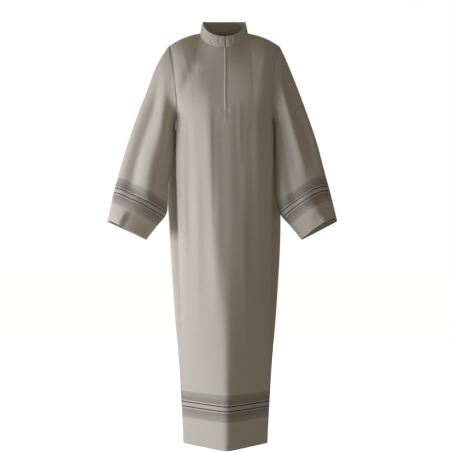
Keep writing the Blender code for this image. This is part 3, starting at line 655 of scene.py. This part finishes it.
def sleeve_grid(side, folds):
    """A sleeve from its armhole to its cuff; the columns run round it from the underarm seam."""
    hand = "left" if side > 0 else "right"
    rings = spline_through(SLEEVE_RINGS, 8)
    shares = np.concatenate((np.array(BESIDE_EDGE) / SLEEVE_LENGTH,
                             np.linspace(SLEEVE_FIRST_SHARE, 1.0, SLEEVE_ROWS)[:-1],
                             1.0 - np.array(BESIDE_CUFF) / SLEEVE_LENGTH))
    angles = np.linspace(-math.pi, math.pi, SLEEVE_POINTS_ROUND)
    degrees = np.degrees(angles) % 360.0
    armhole = armhole_points(side, angles)
    rows = []
    for along in shares:
        place = along * (len(rings) - 1.0)
        row = [np.interp(place, range(len(rings)), rings[:, c]) for c in range(rings.shape[1])]
        ring = dict(zip(SLEEVE_COLUMNS, row))
        outer = np.array((side * ring[hand + "_out_x"], ring["mid_y"], ring["out_z"]))
        inner = np.array((side * ring[hand + "_in_x"], ring["mid_y"], ring["in_z"]))
        half = (outer - inner) / 2.0
        ahead = pointed_sine(angles, UNDERARM_POINT * (1.0 - smooth_steps(along / POINTED_SHARE)))
        depth = np.where(ahead > 0.0, ring["front"], ring["back"])
        lift = sleeve_lift(folds, along, degrees)
        front_rise = CUFF_FRONT_RISE[hand] * (1.0 + CUFF_TILT * np.cos(angles))
        rise = np.where(ahead > 0.0, front_rise, CUFF_BACK_DROP) * ahead * smooth_steps(3.0 * along - 2.0)
        sideways = half * (np.cos(angles) * (1.0 + lift / np.linalg.norm(half)))[:, None]
        forward = np.stack((0.0 * ahead, -(depth + lift) * ahead, rise), axis=-1)
        line = (outer + inner) / 2.0 + sideways + forward
        rows.append(line + (armhole - line) * (1.0 - smooth_steps(along / SET_IN_SHARE)))
    grid = np.array(rows)
    return grid[:, ::-1] if side > 0 else grid


def collar_place(angle, height, depth):
    """A point of the collar: degrees round the neck, height above it and depth in from its face."""
    turn = np.radians(angle)
    inset = (COLLAR_THICKNESS + LAYER_GAP) * smooth_steps((angle - COLLAR_STEP_ANGLE) / COLLAR_STEP_LENGTH)
    inset = inset + depth + COLLAR_LEAN * height / COLLAR_HEIGHT
    inwards = np.stack((-inset * np.sin(turn), inset * np.cos(turn), height + 0.0 * turn), axis=-1)
    return neck_points(turn) + inwards


def stitch_line(turns, heights, depth, behind):
    """A line on the collar at a depth, with its outward directions from a line that lies behind it."""
    line = collar_place(turns, heights, depth)
    return line, line - collar_place(turns, heights, behind)


def piece_from(name, shape, material):
    """Makes a finished object of a bmesh, riding on the alb."""
    mesh = bpy.data.meshes.new(name)
    shape.to_mesh(mesh)
    shape.free()
    mesh.materials.append(material)
    mesh.shade_smooth()
    piece = bpy.data.objects.new(name, mesh)
    bpy.context.scene.collection.objects.link(piece)
    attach(piece, "root")
    return piece


def sheet_of(grid, places):
    """A bmesh sheet whose points are the grid's and whose UV map is places, in metres."""
    rows, columns = grid.shape[:2]
    shape = bmesh.new()
    uv = shape.loops.layers.uv.new("cloth")
    bmesh.ops.create_grid(shape, x_segments=columns - 1, y_segments=rows - 1, size=0.5)
    points = grid[::-1].reshape(-1, 3)
    woven = places[::-1].reshape(-1, 2)
    for vertex, point in zip(shape.verts, points):
        vertex.co = point
    for face in shape.faces:
        for loop in face.loops:
            loop[uv].uv = woven[loop.vert.index]
    return shape


def cloth_piece(name, grid, places, material, thickness, closed=False):
    """A piece of cloth with its thickness; a closed one is sewn along its first and last column."""
    shape = sheet_of(grid, places)
    if closed:
        seam = [v for v in shape.verts if v.is_boundary]
        bmesh.ops.remove_doubles(shape, verts=seam, dist=1e-5)
    piece = piece_from(name, shape, material)
    wall = piece.modifiers.new("cloth", "SOLIDIFY")
    wall.thickness = thickness
    wall.offset = -1.0
    wall.use_even_offset = False
    edge = piece.modifiers.new("turned edge", "BEVEL")
    edge.width = 0.3 * thickness
    edge.segments = 2
    edge.limit_method = "ANGLE"
    edge.angle_limit = math.radians(55.0)
    edge.use_clamp_overlap = True
    return piece


def rounded_strip(name, sections, places, material):
    """A closed padded strip: one loop of points for each station along it, with both ends filled."""
    shape = sheet_of(sections, places)
    bmesh.ops.remove_doubles(shape, verts=list(shape.verts), dist=1e-6)
    rim = [e for e in shape.edges if e.is_boundary]
    bmesh.ops.holes_fill(shape, edges=rim, sides=0)
    bmesh.ops.recalc_face_normals(shape, faces=list(shape.faces))
    return piece_from(name, shape, material)


def stitches(name, runs, length, gap, thread, material):
    """Rows of single stitches: each run is a line of points with the outward direction at each."""
    shape = bmesh.new()
    shape.loops.layers.uv.new("cloth")
    size = Matrix.Diagonal((length / 2.0, thread / 2.0, thread / 2.4, 1.0))
    beside = 0.0004
    for points, outwards in runs:
        reached = reached_along(points)
        count = max(1, int((reached[-1] + gap) / (length + gap)))
        for number in range(count):
            middle = (number + 0.5) * reached[-1] / count
            ahead = point_at(points, reached, middle + beside)
            behind = point_at(points, reached, middle - beside)
            out = Vector(point_at(outwards, reached, middle)).normalized()
            along = Vector(ahead - behind).normalized()
            side = out.cross(along).normalized()
            turn = Matrix((along, side, out)).transposed().to_4x4()
            place = Matrix.Translation(Vector(point_at(points, reached, middle)))
            bmesh.ops.create_uvsphere(shape, u_segments=8, v_segments=5, radius=1.0,
                                      matrix=place @ turn @ size)
    return piece_from(name, shape, material)


def socket(group, name, kind, side, value=None):
    """Adds an input or output to a node group."""
    made = group.interface.new_socket(name=name, in_out=side, socket_type=kind)
    if value is not None:
        made.default_value = value
    return made


def math_node(tree, operation, first, second=None, third=None, clamp=False):
    """A calculation with up to three values or sockets; gives its output."""
    node = tree.nodes.new("ShaderNodeMath")
    node.operation = operation
    node.use_clamp = clamp
    for number, value in enumerate((first, second, third)):
        if value is None:
            continue
        if isinstance(value, (int, float)):
            node.inputs[number].default_value = value
        else:
            tree.links.new(value, node.inputs[number])
    return node.outputs[0]


def mix_colour(tree, share, first, second, blend="MIX"):
    """A mix of two colours or sockets by a share; gives its output."""
    node = tree.nodes.new("ShaderNodeMix")
    node.data_type = "RGBA"
    node.blend_type = blend
    for number, value in ((0, share), (6, first), (7, second)):
        if isinstance(value, (int, float)):
            node.inputs[number].default_value = value
        elif isinstance(value, tuple):
            node.inputs[number].default_value = (*value, 1.0)
        else:
            tree.links.new(value, node.inputs[number])
    return node.outputs[2]


def noise(tree, vector, scale, detail=2.0):
    """Soft noise at a place; gives its value."""
    node = tree.nodes.new("ShaderNodeTexNoise")
    node.inputs["Scale"].default_value = scale
    node.inputs["Detail"].default_value = detail
    tree.links.new(vector, node.inputs["Vector"])
    return node.outputs["Fac"]


def stretched(tree, vector, across, up):
    """A place scaled across and up."""
    node = tree.nodes.new("ShaderNodeMapping")
    node.inputs["Scale"].default_value = (across, up, 1.0)
    tree.links.new(vector, node.inputs["Vector"])
    return node.outputs["Vector"]


def weave_group():
    """Woven threads that follow the cloth: a height for the bump, and a tone for the colour that joins the
    slubs' own unevenness with painted shade, darker in the dips between threads.
    """
    found = bpy.data.node_groups.get("woven threads")
    if found:
        return found
    group = bpy.data.node_groups.new("woven threads", "ShaderNodeTree")
    socket(group, "Place", "NodeSocketVector", "INPUT")
    socket(group, "Pitch", "NodeSocketFloat", "INPUT", 0.0007)
    socket(group, "Height", "NodeSocketFloat", "OUTPUT")
    socket(group, "Shade", "NodeSocketFloat", "OUTPUT")
    start = group.nodes.new("NodeGroupInput")
    end = group.nodes.new("NodeGroupOutput")
    place = group.nodes.new("ShaderNodeSeparateXYZ")
    group.links.new(start.outputs["Place"], place.inputs[0])
    turn = math_node(group, "DIVIDE", math.pi, start.outputs["Pitch"])
    over = math_node(group, "SINE", math_node(group, "MULTIPLY", place.outputs["X"], turn))
    under = math_node(group, "SINE", math_node(group, "MULTIPLY", place.outputs["Y"], turn))
    crossing = math_node(group, "MULTIPLY", over, under)
    threads = []
    for wave, way in ((over, 1.0), (under, -1.0)):
        above = math_node(group, "MAXIMUM", math_node(group, "MULTIPLY", crossing, way), 0.0)
        raised = math_node(group, "MULTIPLY_ADD", above, 0.6, 0.4)
        threads.append(math_node(group, "MULTIPLY", math_node(group, "ABSOLUTE", wave), raised))
    height = math_node(group, "MAXIMUM", *threads)
    group.links.new(height, end.inputs["Height"])
    slub_up = noise(group, stretched(group, start.outputs["Place"], 900.0, 14.0), 1.0, 3.0)
    slub_side = noise(group, stretched(group, start.outputs["Place"], 14.0, 900.0), 1.0, 3.0)
    slubs = math_node(group, "ADD", slub_up, slub_side)
    # Painted shade: the threads' height lightens their tops and darkens the dips between them; the slubs are
    # the yarn's own uneven tone.
    slubs_and_shade = math_node(group, "MULTIPLY_ADD", slubs, 0.5, math_node(group, "MULTIPLY", height, 0.25))
    group.links.new(slubs_and_shade, end.inputs["Shade"])
    return group


def band_group():
    """The striped band: its colour over the plain cloth, by the distance up from the cloth's edge."""
    found = bpy.data.node_groups.get("striped band")
    if found:
        return found
    group = bpy.data.node_groups.new("striped band", "ShaderNodeTree")
    socket(group, "Place", "NodeSocketVector", "INPUT")
    socket(group, "Start", "NodeSocketFloat", "INPUT", 0.097)
    socket(group, "Width", "NodeSocketFloat", "INPUT", 0.095)
    for name in ("Plain", "Grey", "Dark", "Pale"):
        socket(group, name, "NodeSocketColor", "INPUT")
    socket(group, "Colour", "NodeSocketColor", "OUTPUT")
    socket(group, "Ribs", "NodeSocketFloat", "OUTPUT")
    start = group.nodes.new("NodeGroupInput")
    end = group.nodes.new("NodeGroupOutput")
    place = group.nodes.new("ShaderNodeSeparateXYZ")
    group.links.new(start.outputs["Place"], place.inputs[0])
    up = math_node(group, "DIVIDE", math_node(group, "SUBTRACT", place.outputs["Y"], start.outputs["Start"]),
                   start.outputs["Width"])
    from_middle = math_node(group, "ABSOLUTE", math_node(group, "SUBTRACT", up, 0.5))
    inside = math_node(group, "LESS_THAN", from_middle, 0.5)
    grey = math_node(group, "MULTIPLY", inside, math_node(group, "GREATER_THAN", from_middle, GREY_FROM))
    dark = math_node(group, "MULTIPLY", math_node(group, "GREATER_THAN", from_middle, DARK_FROM),
                     math_node(group, "LESS_THAN", from_middle, DARK_TO))
    ribs = math_node(group, "MULTIPLY", place.outputs["Y"], 2.0 * math.pi / RIB_SPACING)
    ribs = math_node(group, "SINE", ribs)
    uneven = noise(group, stretched(group, start.outputs["Place"], 5.0, 230.0), 1.0, 2.0)
    tone = math_node(group, "MULTIPLY_ADD", ribs, 0.10, math_node(group, "MULTIPLY", uneven, 0.60))
    inwards = math_node(group, "SUBTRACT", 0.5, from_middle)
    inwards = math_node(group, "DIVIDE", inwards, 0.5 - GREY_FROM, clamp=True)
    deepening = math_node(group, "MULTIPLY_ADD", inwards, 1.0 - GREY_AT_EDGE, GREY_AT_EDGE)
    grey = math_node(group, "MULTIPLY", grey, deepening)
    slanting = math_node(group, "ADD", place.outputs["X"], place.outputs["Y"])
    twill = math_node(group, "SINE", math_node(group, "MULTIPLY", slanting, 2.0 * math.pi / TWILL_SPACING))
    grey_woven = mix_colour(group, math_node(group, "MULTIPLY", tone, 0.60, clamp=True),
                            start.outputs["Grey"], start.outputs["Pale"])
    pale_woven = mix_colour(group, math_node(group, "MULTIPLY_ADD", twill, 0.09, 0.09),
                            start.outputs["Pale"], start.outputs["Dark"])
    colour = mix_colour(group, inside, start.outputs["Plain"], pale_woven)
    colour = mix_colour(group, grey, colour, grey_woven)
    colour = mix_colour(group, dark, colour, start.outputs["Dark"])
    group.links.new(colour, end.inputs["Colour"])
    group.links.new(math_node(group, "MULTIPLY", inside, ribs), end.inputs["Ribs"])
    return group


def cloth_finish(name, band_start=None, tone=1.0):
    """The alb's cloth: matt ivory with its weave, slubs and soft unevenness, with or without a band."""
    scene = bpy.context.scene
    colours, cloth, band = scene.alb_colours, scene.alb_cloth, scene.alb_band
    material = bpy.data.materials.new(name)
    material.use_nodes = True
    tree = material.node_tree
    shader = tree.nodes["Principled BSDF"]
    shader.inputs["Metallic"].default_value = 0.0
    shader.inputs["Specular IOR Level"].default_value = 0.35
    shader.inputs["Sheen Weight"].default_value = 0.10
    shader.inputs["Sheen Roughness"].default_value = 0.5
    place = tree.nodes.new("ShaderNodeUVMap")
    place.uv_map = "cloth"
    threads = tree.nodes.new("ShaderNodeGroup")
    threads.node_tree = weave_group()
    threads.inputs["Pitch"].default_value = cloth.thread
    tree.links.new(place.outputs["UV"], threads.inputs["Place"])
    plain = tuple(tone * c for c in colours.ivory)
    coordinates = tree.nodes.new("ShaderNodeTexCoord")
    broad = noise(tree, coordinates.outputs["Object"], 5.5, 2.0)
    uneven = mix_colour(tree, math_node(tree, "MULTIPLY", broad, 0.16), plain,
                        (plain[0] * 0.86, plain[1] * 0.83, plain[2] * 0.76))
    if band_start is None:
        colour, ribs = uneven, None
    else:
        stripes = tree.nodes.new("ShaderNodeGroup")
        stripes.node_tree = band_group()
        stripes.inputs["Start"].default_value = band_start
        stripes.inputs["Width"].default_value = band.width
        stripes.inputs["Grey"].default_value = (*colours.grey, 1.0)
        stripes.inputs["Dark"].default_value = (*colours.dark, 1.0)
        stripes.inputs["Pale"].default_value = (*colours.pale, 1.0)
        tree.links.new(place.outputs["UV"], stripes.inputs["Place"])
        tree.links.new(uneven, stripes.inputs["Plain"])
        colour, ribs = stripes.outputs["Colour"], stripes.outputs["Ribs"]
    # The weave's tone darkens the colour: the slubs of the yarn, and painted shade in the dips between the
    # threads.
    slubs_and_shade = math_node(tree, "MULTIPLY_ADD", threads.outputs["Shade"], 0.30, 0.81)
    slubs_and_shade_colour = tree.nodes.new("ShaderNodeCombineColor")
    for channel in range(3):
        tree.links.new(slubs_and_shade, slubs_and_shade_colour.inputs[channel])
    finished = mix_colour(tree, 1.0, colour, slubs_and_shade_colour.outputs[0], "MULTIPLY")
    tree.links.new(finished, shader.inputs["Base Color"])
    rough = math_node(tree, "MULTIPLY_ADD", threads.outputs["Height"], -0.10, 0.90)
    tree.links.new(rough, shader.inputs["Roughness"])
    fuzz = noise(tree, stretched(tree, place.outputs["UV"], 60.0, 60.0), 1.0, 3.0)
    height = math_node(tree, "MULTIPLY_ADD", fuzz, 1.2, threads.outputs["Height"])
    if ribs is not None:
        height = math_node(tree, "MULTIPLY_ADD", ribs, 0.4, height)
    bump = tree.nodes.new("ShaderNodeBump")
    bump.inputs["Strength"].default_value = 0.35
    bump.inputs["Distance"].default_value = 0.00022
    tree.links.new(height, bump.inputs["Height"])
    tree.links.new(bump.outputs["Normal"], shader.inputs["Normal"])
    return material


def thread_finish(name):
    """The sewing thread: twisted, a little paler and smoother than the cloth."""
    ivory = bpy.context.scene.alb_colours.ivory
    material = bpy.data.materials.new(name)
    material.use_nodes = True
    tree = material.node_tree
    shader = tree.nodes["Principled BSDF"]
    shader.inputs["Metallic"].default_value = 0.0
    shader.inputs["Roughness"].default_value = 0.55
    coordinates = tree.nodes.new("ShaderNodeTexCoord")
    strands = noise(tree, coordinates.outputs["Object"], 2400.0, 1.0)
    deep, pale = tuple(0.9 * c for c in ivory), tuple(min(1.0, 1.18 * c) for c in ivory)
    tree.links.new(mix_colour(tree, strands, deep, pale), shader.inputs["Base Color"])
    bump = tree.nodes.new("ShaderNodeBump")
    bump.inputs["Strength"].default_value = 0.4
    bump.inputs["Distance"].default_value = 0.0001
    tree.links.new(strands, bump.inputs["Height"])
    tree.links.new(bump.outputs["Normal"], shader.inputs["Normal"])
    return material


class ALB_OT_body(bpy.types.Operator):
    """Cuts and hangs the front and back panels."""

    bl_idname = "alb.body"
    bl_label = "Front and back"

    def execute(self, context):
        cloth, band = context.scene.alb_cloth, context.scene.alb_band
        for name, grid in (("front", front_grid()), ("back", open_vents(back_grid()))):
            grid = rolled_edges(grid, cloth.seam_roll)
            piece = cloth_piece("alb_" + name, grid, woven_places(grid),
                                cloth_finish("ivory_" + name, band.hem_start), cloth.thickness)
            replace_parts(piece, name)
        return {"FINISHED"}


class ALB_OT_sleeves(bpy.types.Operator):
    """Cuts the sleeves, closes their underarm seams and hangs them from the armholes."""

    bl_idname = "alb.sleeves"
    bl_label = "Sleeves"

    def execute(self, context):
        cloth, band = context.scene.alb_cloth, context.scene.alb_band
        finish = cloth_finish("ivory_sleeve", band.cuff_start)
        for name, side, folds, area in (("sleeve_right", -1.0, RIGHT_SLEEVE_FOLDS, 0.263),
                                        ("sleeve_left", 1.0, LEFT_SLEEVE_FOLDS, 0.249)):
            grid = rolled_edges(sleeve_grid(side, folds), cloth.seam_roll, sides=False)
            piece = cloth_piece("alb_" + name, grid, woven_places(grid), finish, cloth.thickness,
                                closed=True)
            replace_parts(piece, name)
        return {"FINISHED"}


class ALB_OT_collar(bpy.types.Operator):
    """Makes the stand collar and the stitched tab that closes it."""

    bl_idname = "alb.collar"
    bl_label = "Collar and tab"

    def execute(self, context):
        self.collar()
        self.tab(context)
        return {"FINISHED"}

    def dents(self, table, angle, rise):
        """How deep the soft dents of a strip lie at an angle and at heights above the neck."""
        total = np.zeros(rise.shape)
        for row in table:
            dent = dict(zip(DENT_COLUMNS, row))
            share = (rise - dent["low"]) / (dent["high"] - dent["low"])
            centre = dent["turn_low"] + (dent["turn_high"] - dent["turn_low"]) * share
            fade = smooth_steps(3.0 * share) * smooth_steps(3.0 * (1.0 - share))
            total += dent["depth"] * fade * np.exp(-((angle - centre) / dent["width"]) ** 2)
        return total

    def strip(self, name, angles, low, high, face, thickness, slot, puff, dents, corner=0.0):
        """A rounded strip round the neck between two heights, face being how deep its face lies."""
        radius = thickness / 2.0
        bends = np.linspace(-0.5 * math.pi, 0.5 * math.pi, 9)
        sections, places = [], []
        length = 0.0
        for angle in angles:
            from_start = math.radians(angle - angles[0]) * NECK_HALF_WIDTH
            from_end = math.radians(angles[-1] - angle) * NECK_HALF_WIDTH
            end = min(from_start, from_end) / radius
            round_end = math.sqrt(max(0.02, 1.0 - max(0.0, 1.0 - end) ** 2))
            cut = corner - math.sqrt(max(0.0, corner ** 2 - max(0.0, corner - from_start) ** 2))
            bottom, top = low + cut + radius * (1.0 - round_end), high - radius * (1.0 - round_end)
            rise = np.linspace(bottom + radius, top - radius, STRIP_POINTS)
            share = (rise - low) / (high - low)
            swell = puff * np.sin(math.pi * share) ** 0.5 * min(1.0, 0.5 * end)
            grooves = sum(np.exp(-((rise - height) / GROOVE_WIDTH) ** 2)
                          for height in (high - GROOVE_INSET, low + GROOVE_INSET))
            sunk = self.dents(dents, angle, rise) * min(1.0, 0.5 * end)
            flat = radius * round_end
            outer = np.stack((rise, radius - flat - swell + GROOVE_DEPTH * grooves + sunk), axis=-1)
            inner = np.stack((rise[::-1], np.full(STRIP_POINTS, radius + flat)), axis=-1)
            turned, sideways = radius * (1.0 - np.cos(bends)), flat * np.sin(bends)
            over = np.stack((top - turned, radius + sideways), axis=-1)
            under = np.stack((bottom + turned, radius - sideways), axis=-1)
            loop = np.vstack((outer, over[1:-1], inner, under[1:-1], outer[:1]))
            section = collar_place(np.full(len(loop), angle), loop[:, 0], face + loop[:, 1])
            if sections:
                middle = STRIP_POINTS // 2
                length += float(np.linalg.norm(section[middle] - sections[-1][middle]))
            sections.append(section)
            places.append(np.stack((np.full(len(loop), length), reached_along(section)), axis=-1))
        material = cloth_finish("ivory_" + slot, tone=1.02)
        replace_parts(rounded_strip(name, np.array(sections), np.array(places), material), slot)

    def collar(self):
        """The collar's strip, all round the neck."""
        ends = np.degrees(np.array((0.0, 0.0003, 0.0007, 0.0013)) / NECK_HALF_WIDTH)
        angles = np.concatenate((COLLAR_END_ANGLE + ends, np.arange(8.0, COLLAR_LAST_ANGLE - 2.0, 1.5),
                                 COLLAR_LAST_ANGLE - ends[::-1]))
        self.strip("alb_collar", angles, COLLAR_FOOT, COLLAR_HEIGHT, 0.0, COLLAR_THICKNESS, "collar",
                   COLLAR_PUFF, COLLAR_DENTS)

    def tab(self, context):
        """The tab on the collar's outer end, with stitches round it and along the seam that holds it."""
        ends = np.degrees(np.array((0.0, 0.0002, 0.0004, 0.0007)) / NECK_HALF_WIDTH)
        angles = np.concatenate((COLLAR_END_ANGLE + ends, np.arange(7.0, TAB_LAST_ANGLE - 0.8, 0.7),
                                 TAB_LAST_ANGLE - ends[::-1]))
        face = -SEAM_GAP - TAB_THICKNESS - TAB_SWELL
        self.strip("alb_collar_tab", angles, TAB_FOOT, TAB_TOP, face, TAB_THICKNESS + TAB_SWELL, "collar_tab",
                   TAB_PUFF, TAB_DENTS, corner=TAB_CORNER)
        first, last = COLLAR_END_ANGLE + TAB_STITCH_TURN, TAB_LAST_ANGLE - TAB_STITCH_TURN
        low, high = TAB_FOOT + TAB_STITCH_INSET, TAB_TOP - TAB_STITCH_INSET
        seam = TAB_LAST_ANGLE - TAB_SEAM_TURN
        runs = []
        for height_start, height_end, turn_start, turn_end, count in (
                (TAB_FOOT + TAB_CORNER, high, first, first, 12),
                (high, high, first, last, 20),
                (high, low, last, last, 12),
                (low, low, last, TAB_LOW_STITCH_TURN, 20),
                (TAB_TOP - TAB_SEAM_INSET, TAB_FOOT + TAB_SEAM_INSET, seam, seam, 12)):
            heights = np.linspace(height_start, height_end, count)
            runs.append(stitch_line(np.linspace(turn_start, turn_end, count), heights,
                                    depth=face - TAB_SWELL, behind=face + 0.004))
        stitches("alb_tab_stitches", runs, context.scene.alb_cloth.stitch_length, gap=0.0008, thread=0.0006,
                 material=thread_finish("thread_tab"))


class ALB_OT_opening(bpy.types.Operator):
    """Lays the covered opening's folded strip on the front and tacks its foot."""

    bl_idname = "alb.opening"
    bl_label = "Covered opening"

    def execute(self, context):
        grid = front_grid()
        normals = grid_normals(grid)
        widths = 1.0 - (1.0 - np.linspace(0.0, 1.0, FLY_POINTS)) ** FLY_CROWDING
        rising = smooth_steps((widths - FLY_RISE_START) / FLY_RISE_SHARE)
        rising = rising * (FLY_THICKNESS + FLY_SINK + FLY_EDGE_REACH)
        sections, places = [], []
        for share in np.linspace(0.0, 1.0, FLY_STATIONS + 1):
            row = []
            for x in FLY_EDGE_X - FLY_WIDTH * (1.0 - widths):
                top = NECK_FRONT_Z * math.sqrt(1.0 - (x / NECK_HALF_WIDTH) ** 2) - FLY_TOP_GAP
                row.append(self.on_front(grid, normals, x, top + (FLY_BOTTOM_Z - top) * share))
            points = np.array([p for p, _ in row])
            out = np.array([n for _, n in row])
            above_foot = smooth_steps((1.0 - share) * FLY_FOOT_EASE)
            lift = rising * (FLY_FOOT_LIFT + (1.0 - FLY_FOOT_LIFT) * above_foot) - FLY_SINK
            face = points + out * lift[:, None]
            radius = (lift[-1] + FLY_EDGE_REACH) / 2.0
            middle = points[-1] + out[-1] * (lift[-1] - radius)
            edge = [middle + radius * (out[-1] * math.cos(bend) + np.array((math.sin(bend), 0.0, 0.0)))
                    for bend in np.linspace(0.0, math.pi, 7)[1:-1]]
            base = points[::-1] - out[::-1] * FLY_BASE_DEPTH
            section = np.vstack((face, edge, base, face[:1]))
            sections.append(section)
            up = np.full(len(section), FLY_LENGTH * (1.0 - share))
            places.append(np.stack((reached_along(section), up), axis=-1))
        piece = rounded_strip("alb_fly", np.array(sections)[:, ::-1], np.array(places)[:, ::-1],
                              cloth_finish("ivory_fly", tone=1.03))
        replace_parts(piece, "fly")
        self.tack(context, grid, normals)
        return {"FINISHED"}

    def on_front(self, grid, normals, x, z):
        """The front panel's point and outward direction at x and z."""
        column = int(np.argmin(np.abs(grid[YOKE_ROWS, :, 0] - x)))
        span = slice(max(0, column - NEARBY_COLUMNS), column + NEARBY_COLUMNS + 1)
        heights = grid[:, column, 2]
        row = int(np.clip(np.searchsorted(-heights, -z) - 1, 0, len(grid) - 2))
        upper, lower = (point_at(grid[line, span], grid[line, span, 0], x) for line in (row, row + 1))
        share = float(np.clip((upper[2] - z) / max(1e-9, upper[2] - lower[2]), 0.0, 1.0))
        return upper + (lower - upper) * share, normals[row, column]

    def tack(self, context, grid, normals):
        """Two short bars of stitches at the foot of the opening, and three in the gap of the collar."""
        runs = []
        for x_start, x_end, z in TACK_BARS:
            found = [self.on_front(grid, normals, x, z) for x in np.linspace(x_start, x_end, 8)]
            runs.append((np.array([p + n * 0.0007 for p, n in found]), np.array([n for _, n in found])))
        for height in GAP_STITCH_HEIGHTS:
            runs.append(stitch_line(np.linspace(*GAP_STITCH_TURNS, 6), height, depth=-0.0018, behind=0.002))
        stitches("alb_opening_stitches", runs, context.scene.alb_cloth.stitch_length, gap=0.0006,
                 thread=0.0009, material=thread_finish("thread_opening"))


class ALB_OT_stage(bpy.types.Operator):
    """Sets the pale floor and background, the soft lights and the camera."""

    bl_idname = "alb.stage"
    bl_label = "Stage"

    def execute(self, context):
        settings = context.scene.alb_stage
        context.scene.view_settings.view_transform = "Standard"
        self.surroundings(context, settings)
        self.floor(settings)
        self.light("key_light", (-2.50, -0.95, -1.15), 1.5, settings.key_power, (0.87, 0.925, 1.0))
        self.light("fill_light", (0.6, -3.0, -1.3), 1.8, settings.fill_power, (1.0, 0.92, 0.82))
        self.light("back_light", (0.4, 3.4, -0.3), 2.2, settings.back_power, (1.0, 0.97, 0.93))
        camera = bpy.data.objects.new("camera", bpy.data.cameras.new("camera"))
        context.scene.collection.objects.link(camera)
        camera.location = CAMERA_PLACE
        camera.rotation_euler = (0.5 * math.pi, 0.0, 0.0)
        camera.data.lens = CAMERA_LENS
        camera.data.sensor_width = 36.0
        context.scene.camera = camera
        return {"FINISHED"}

    def surroundings(self, context, settings):
        """A white background behind the alb, and dim warm light from all round it."""
        world = bpy.data.worlds.new("studio")
        context.scene.world = world
        world.use_nodes = True
        tree = world.node_tree
        white = tree.nodes["Background"]
        white.inputs["Color"].default_value = (1.0, 1.0, 1.0, 1.0)
        white.inputs["Strength"].default_value = 1.0
        around = tree.nodes.new("ShaderNodeBackground")
        around.inputs["Color"].default_value = (1.0, 0.87, 0.70, 1.0)
        around.inputs["Strength"].default_value = settings.ambient
        seen = tree.nodes.new("ShaderNodeLightPath")
        both = tree.nodes.new("ShaderNodeMixShader")
        tree.links.new(seen.outputs["Is Camera Ray"], both.inputs[0])
        tree.links.new(around.outputs[0], both.inputs[1])
        tree.links.new(white.outputs[0], both.inputs[2])
        tree.links.new(both.outputs[0], tree.nodes["World Output"].inputs["Surface"])

    def floor(self, settings):
        """A wide pale floor."""
        shape = bmesh.new()
        bmesh.ops.create_grid(shape, x_segments=1, y_segments=1, size=12.0)
        bmesh.ops.translate(shape, verts=shape.verts, vec=(0.0, 0.0, settings.floor_z))
        mesh = bpy.data.meshes.new("floor")
        shape.to_mesh(mesh)
        shape.free()
        material = bpy.data.materials.new("pale_floor")
        material.use_nodes = True
        shader = material.node_tree.nodes["Principled BSDF"]
        shader.inputs["Base Color"].default_value = (0.60, 0.60, 0.60, 1.0)
        shader.inputs["Roughness"].default_value = 0.9
        shader.inputs["Emission Color"].default_value = (1.0, 1.0, 1.0, 1.0)
        seen = material.node_tree.nodes.new("ShaderNodeLightPath")
        glow = math_node(material.node_tree, "MULTIPLY", seen.outputs["Is Camera Ray"], 0.90)
        material.node_tree.links.new(glow, shader.inputs["Emission Strength"])
        mesh.materials.append(material)
        floor = bpy.data.objects.new("floor", mesh)
        bpy.context.scene.collection.objects.link(floor)

    def light(self, name, place, size, power, colour):
        """A square soft light that faces the alb's middle."""
        lamp = bpy.data.objects.new(name, bpy.data.lights.new(name, "AREA"))
        bpy.context.scene.collection.objects.link(lamp)
        lamp.data.size = size
        lamp.data.energy = power
        lamp.data.color = colour
        lamp.location = place
        lamp.rotation_euler = (Vector(LIGHT_TARGET) - Vector(place)).to_track_quat("-Z", "Y").to_euler()


class ALB_PT_panel(bpy.types.Panel):
    """The alb's settings and its steps, in the sidebar."""

    bl_idname = "ALB_PT_panel"
    bl_label = "Alb robe"
    bl_space_type = "VIEW_3D"
    bl_region_type = "UI"
    bl_category = "Alb"

    def draw(self, context):
        scene = context.scene
        for title, group in (("Cloth", scene.alb_cloth), ("Colours", scene.alb_colours),
                             ("Bands", scene.alb_band), ("Stage", scene.alb_stage)):
            box = self.layout.box()
            box.label(text=title)
            for name in group.__annotations__:
                box.prop(group, name)
        for step in STEPS:
            self.layout.operator(step.bl_idname)


GROUPS = {"alb_cloth": AlbCloth, "alb_colours": AlbColours, "alb_band": AlbBand, "alb_stage": AlbStage}
STEPS = (ALB_OT_body, ALB_OT_sleeves, ALB_OT_collar, ALB_OT_opening, ALB_OT_stage)


def register():
    """Adds the settings, the steps and the panel."""
    for kind in (*GROUPS.values(), *STEPS, ALB_PT_panel):
        bpy.utils.register_class(kind)
    for name, kind in GROUPS.items():
        setattr(bpy.types.Scene, name, bpy.props.PointerProperty(type=kind))


def unregister():
    """Takes them away again."""
    for name in GROUPS:
        delattr(bpy.types.Scene, name)
    for kind in reversed((*GROUPS.values(), *STEPS, ALB_PT_panel)):
        bpy.utils.unregister_class(kind)


def main():
    """Makes the alb and its stage step by step."""
    register()
    bpy.ops.alb.body()
    bpy.ops.alb.sleeves()
    bpy.ops.alb.collar()
    bpy.ops.alb.opening()
    bpy.ops.alb.stage()


if __name__ == "__main__":
    main()
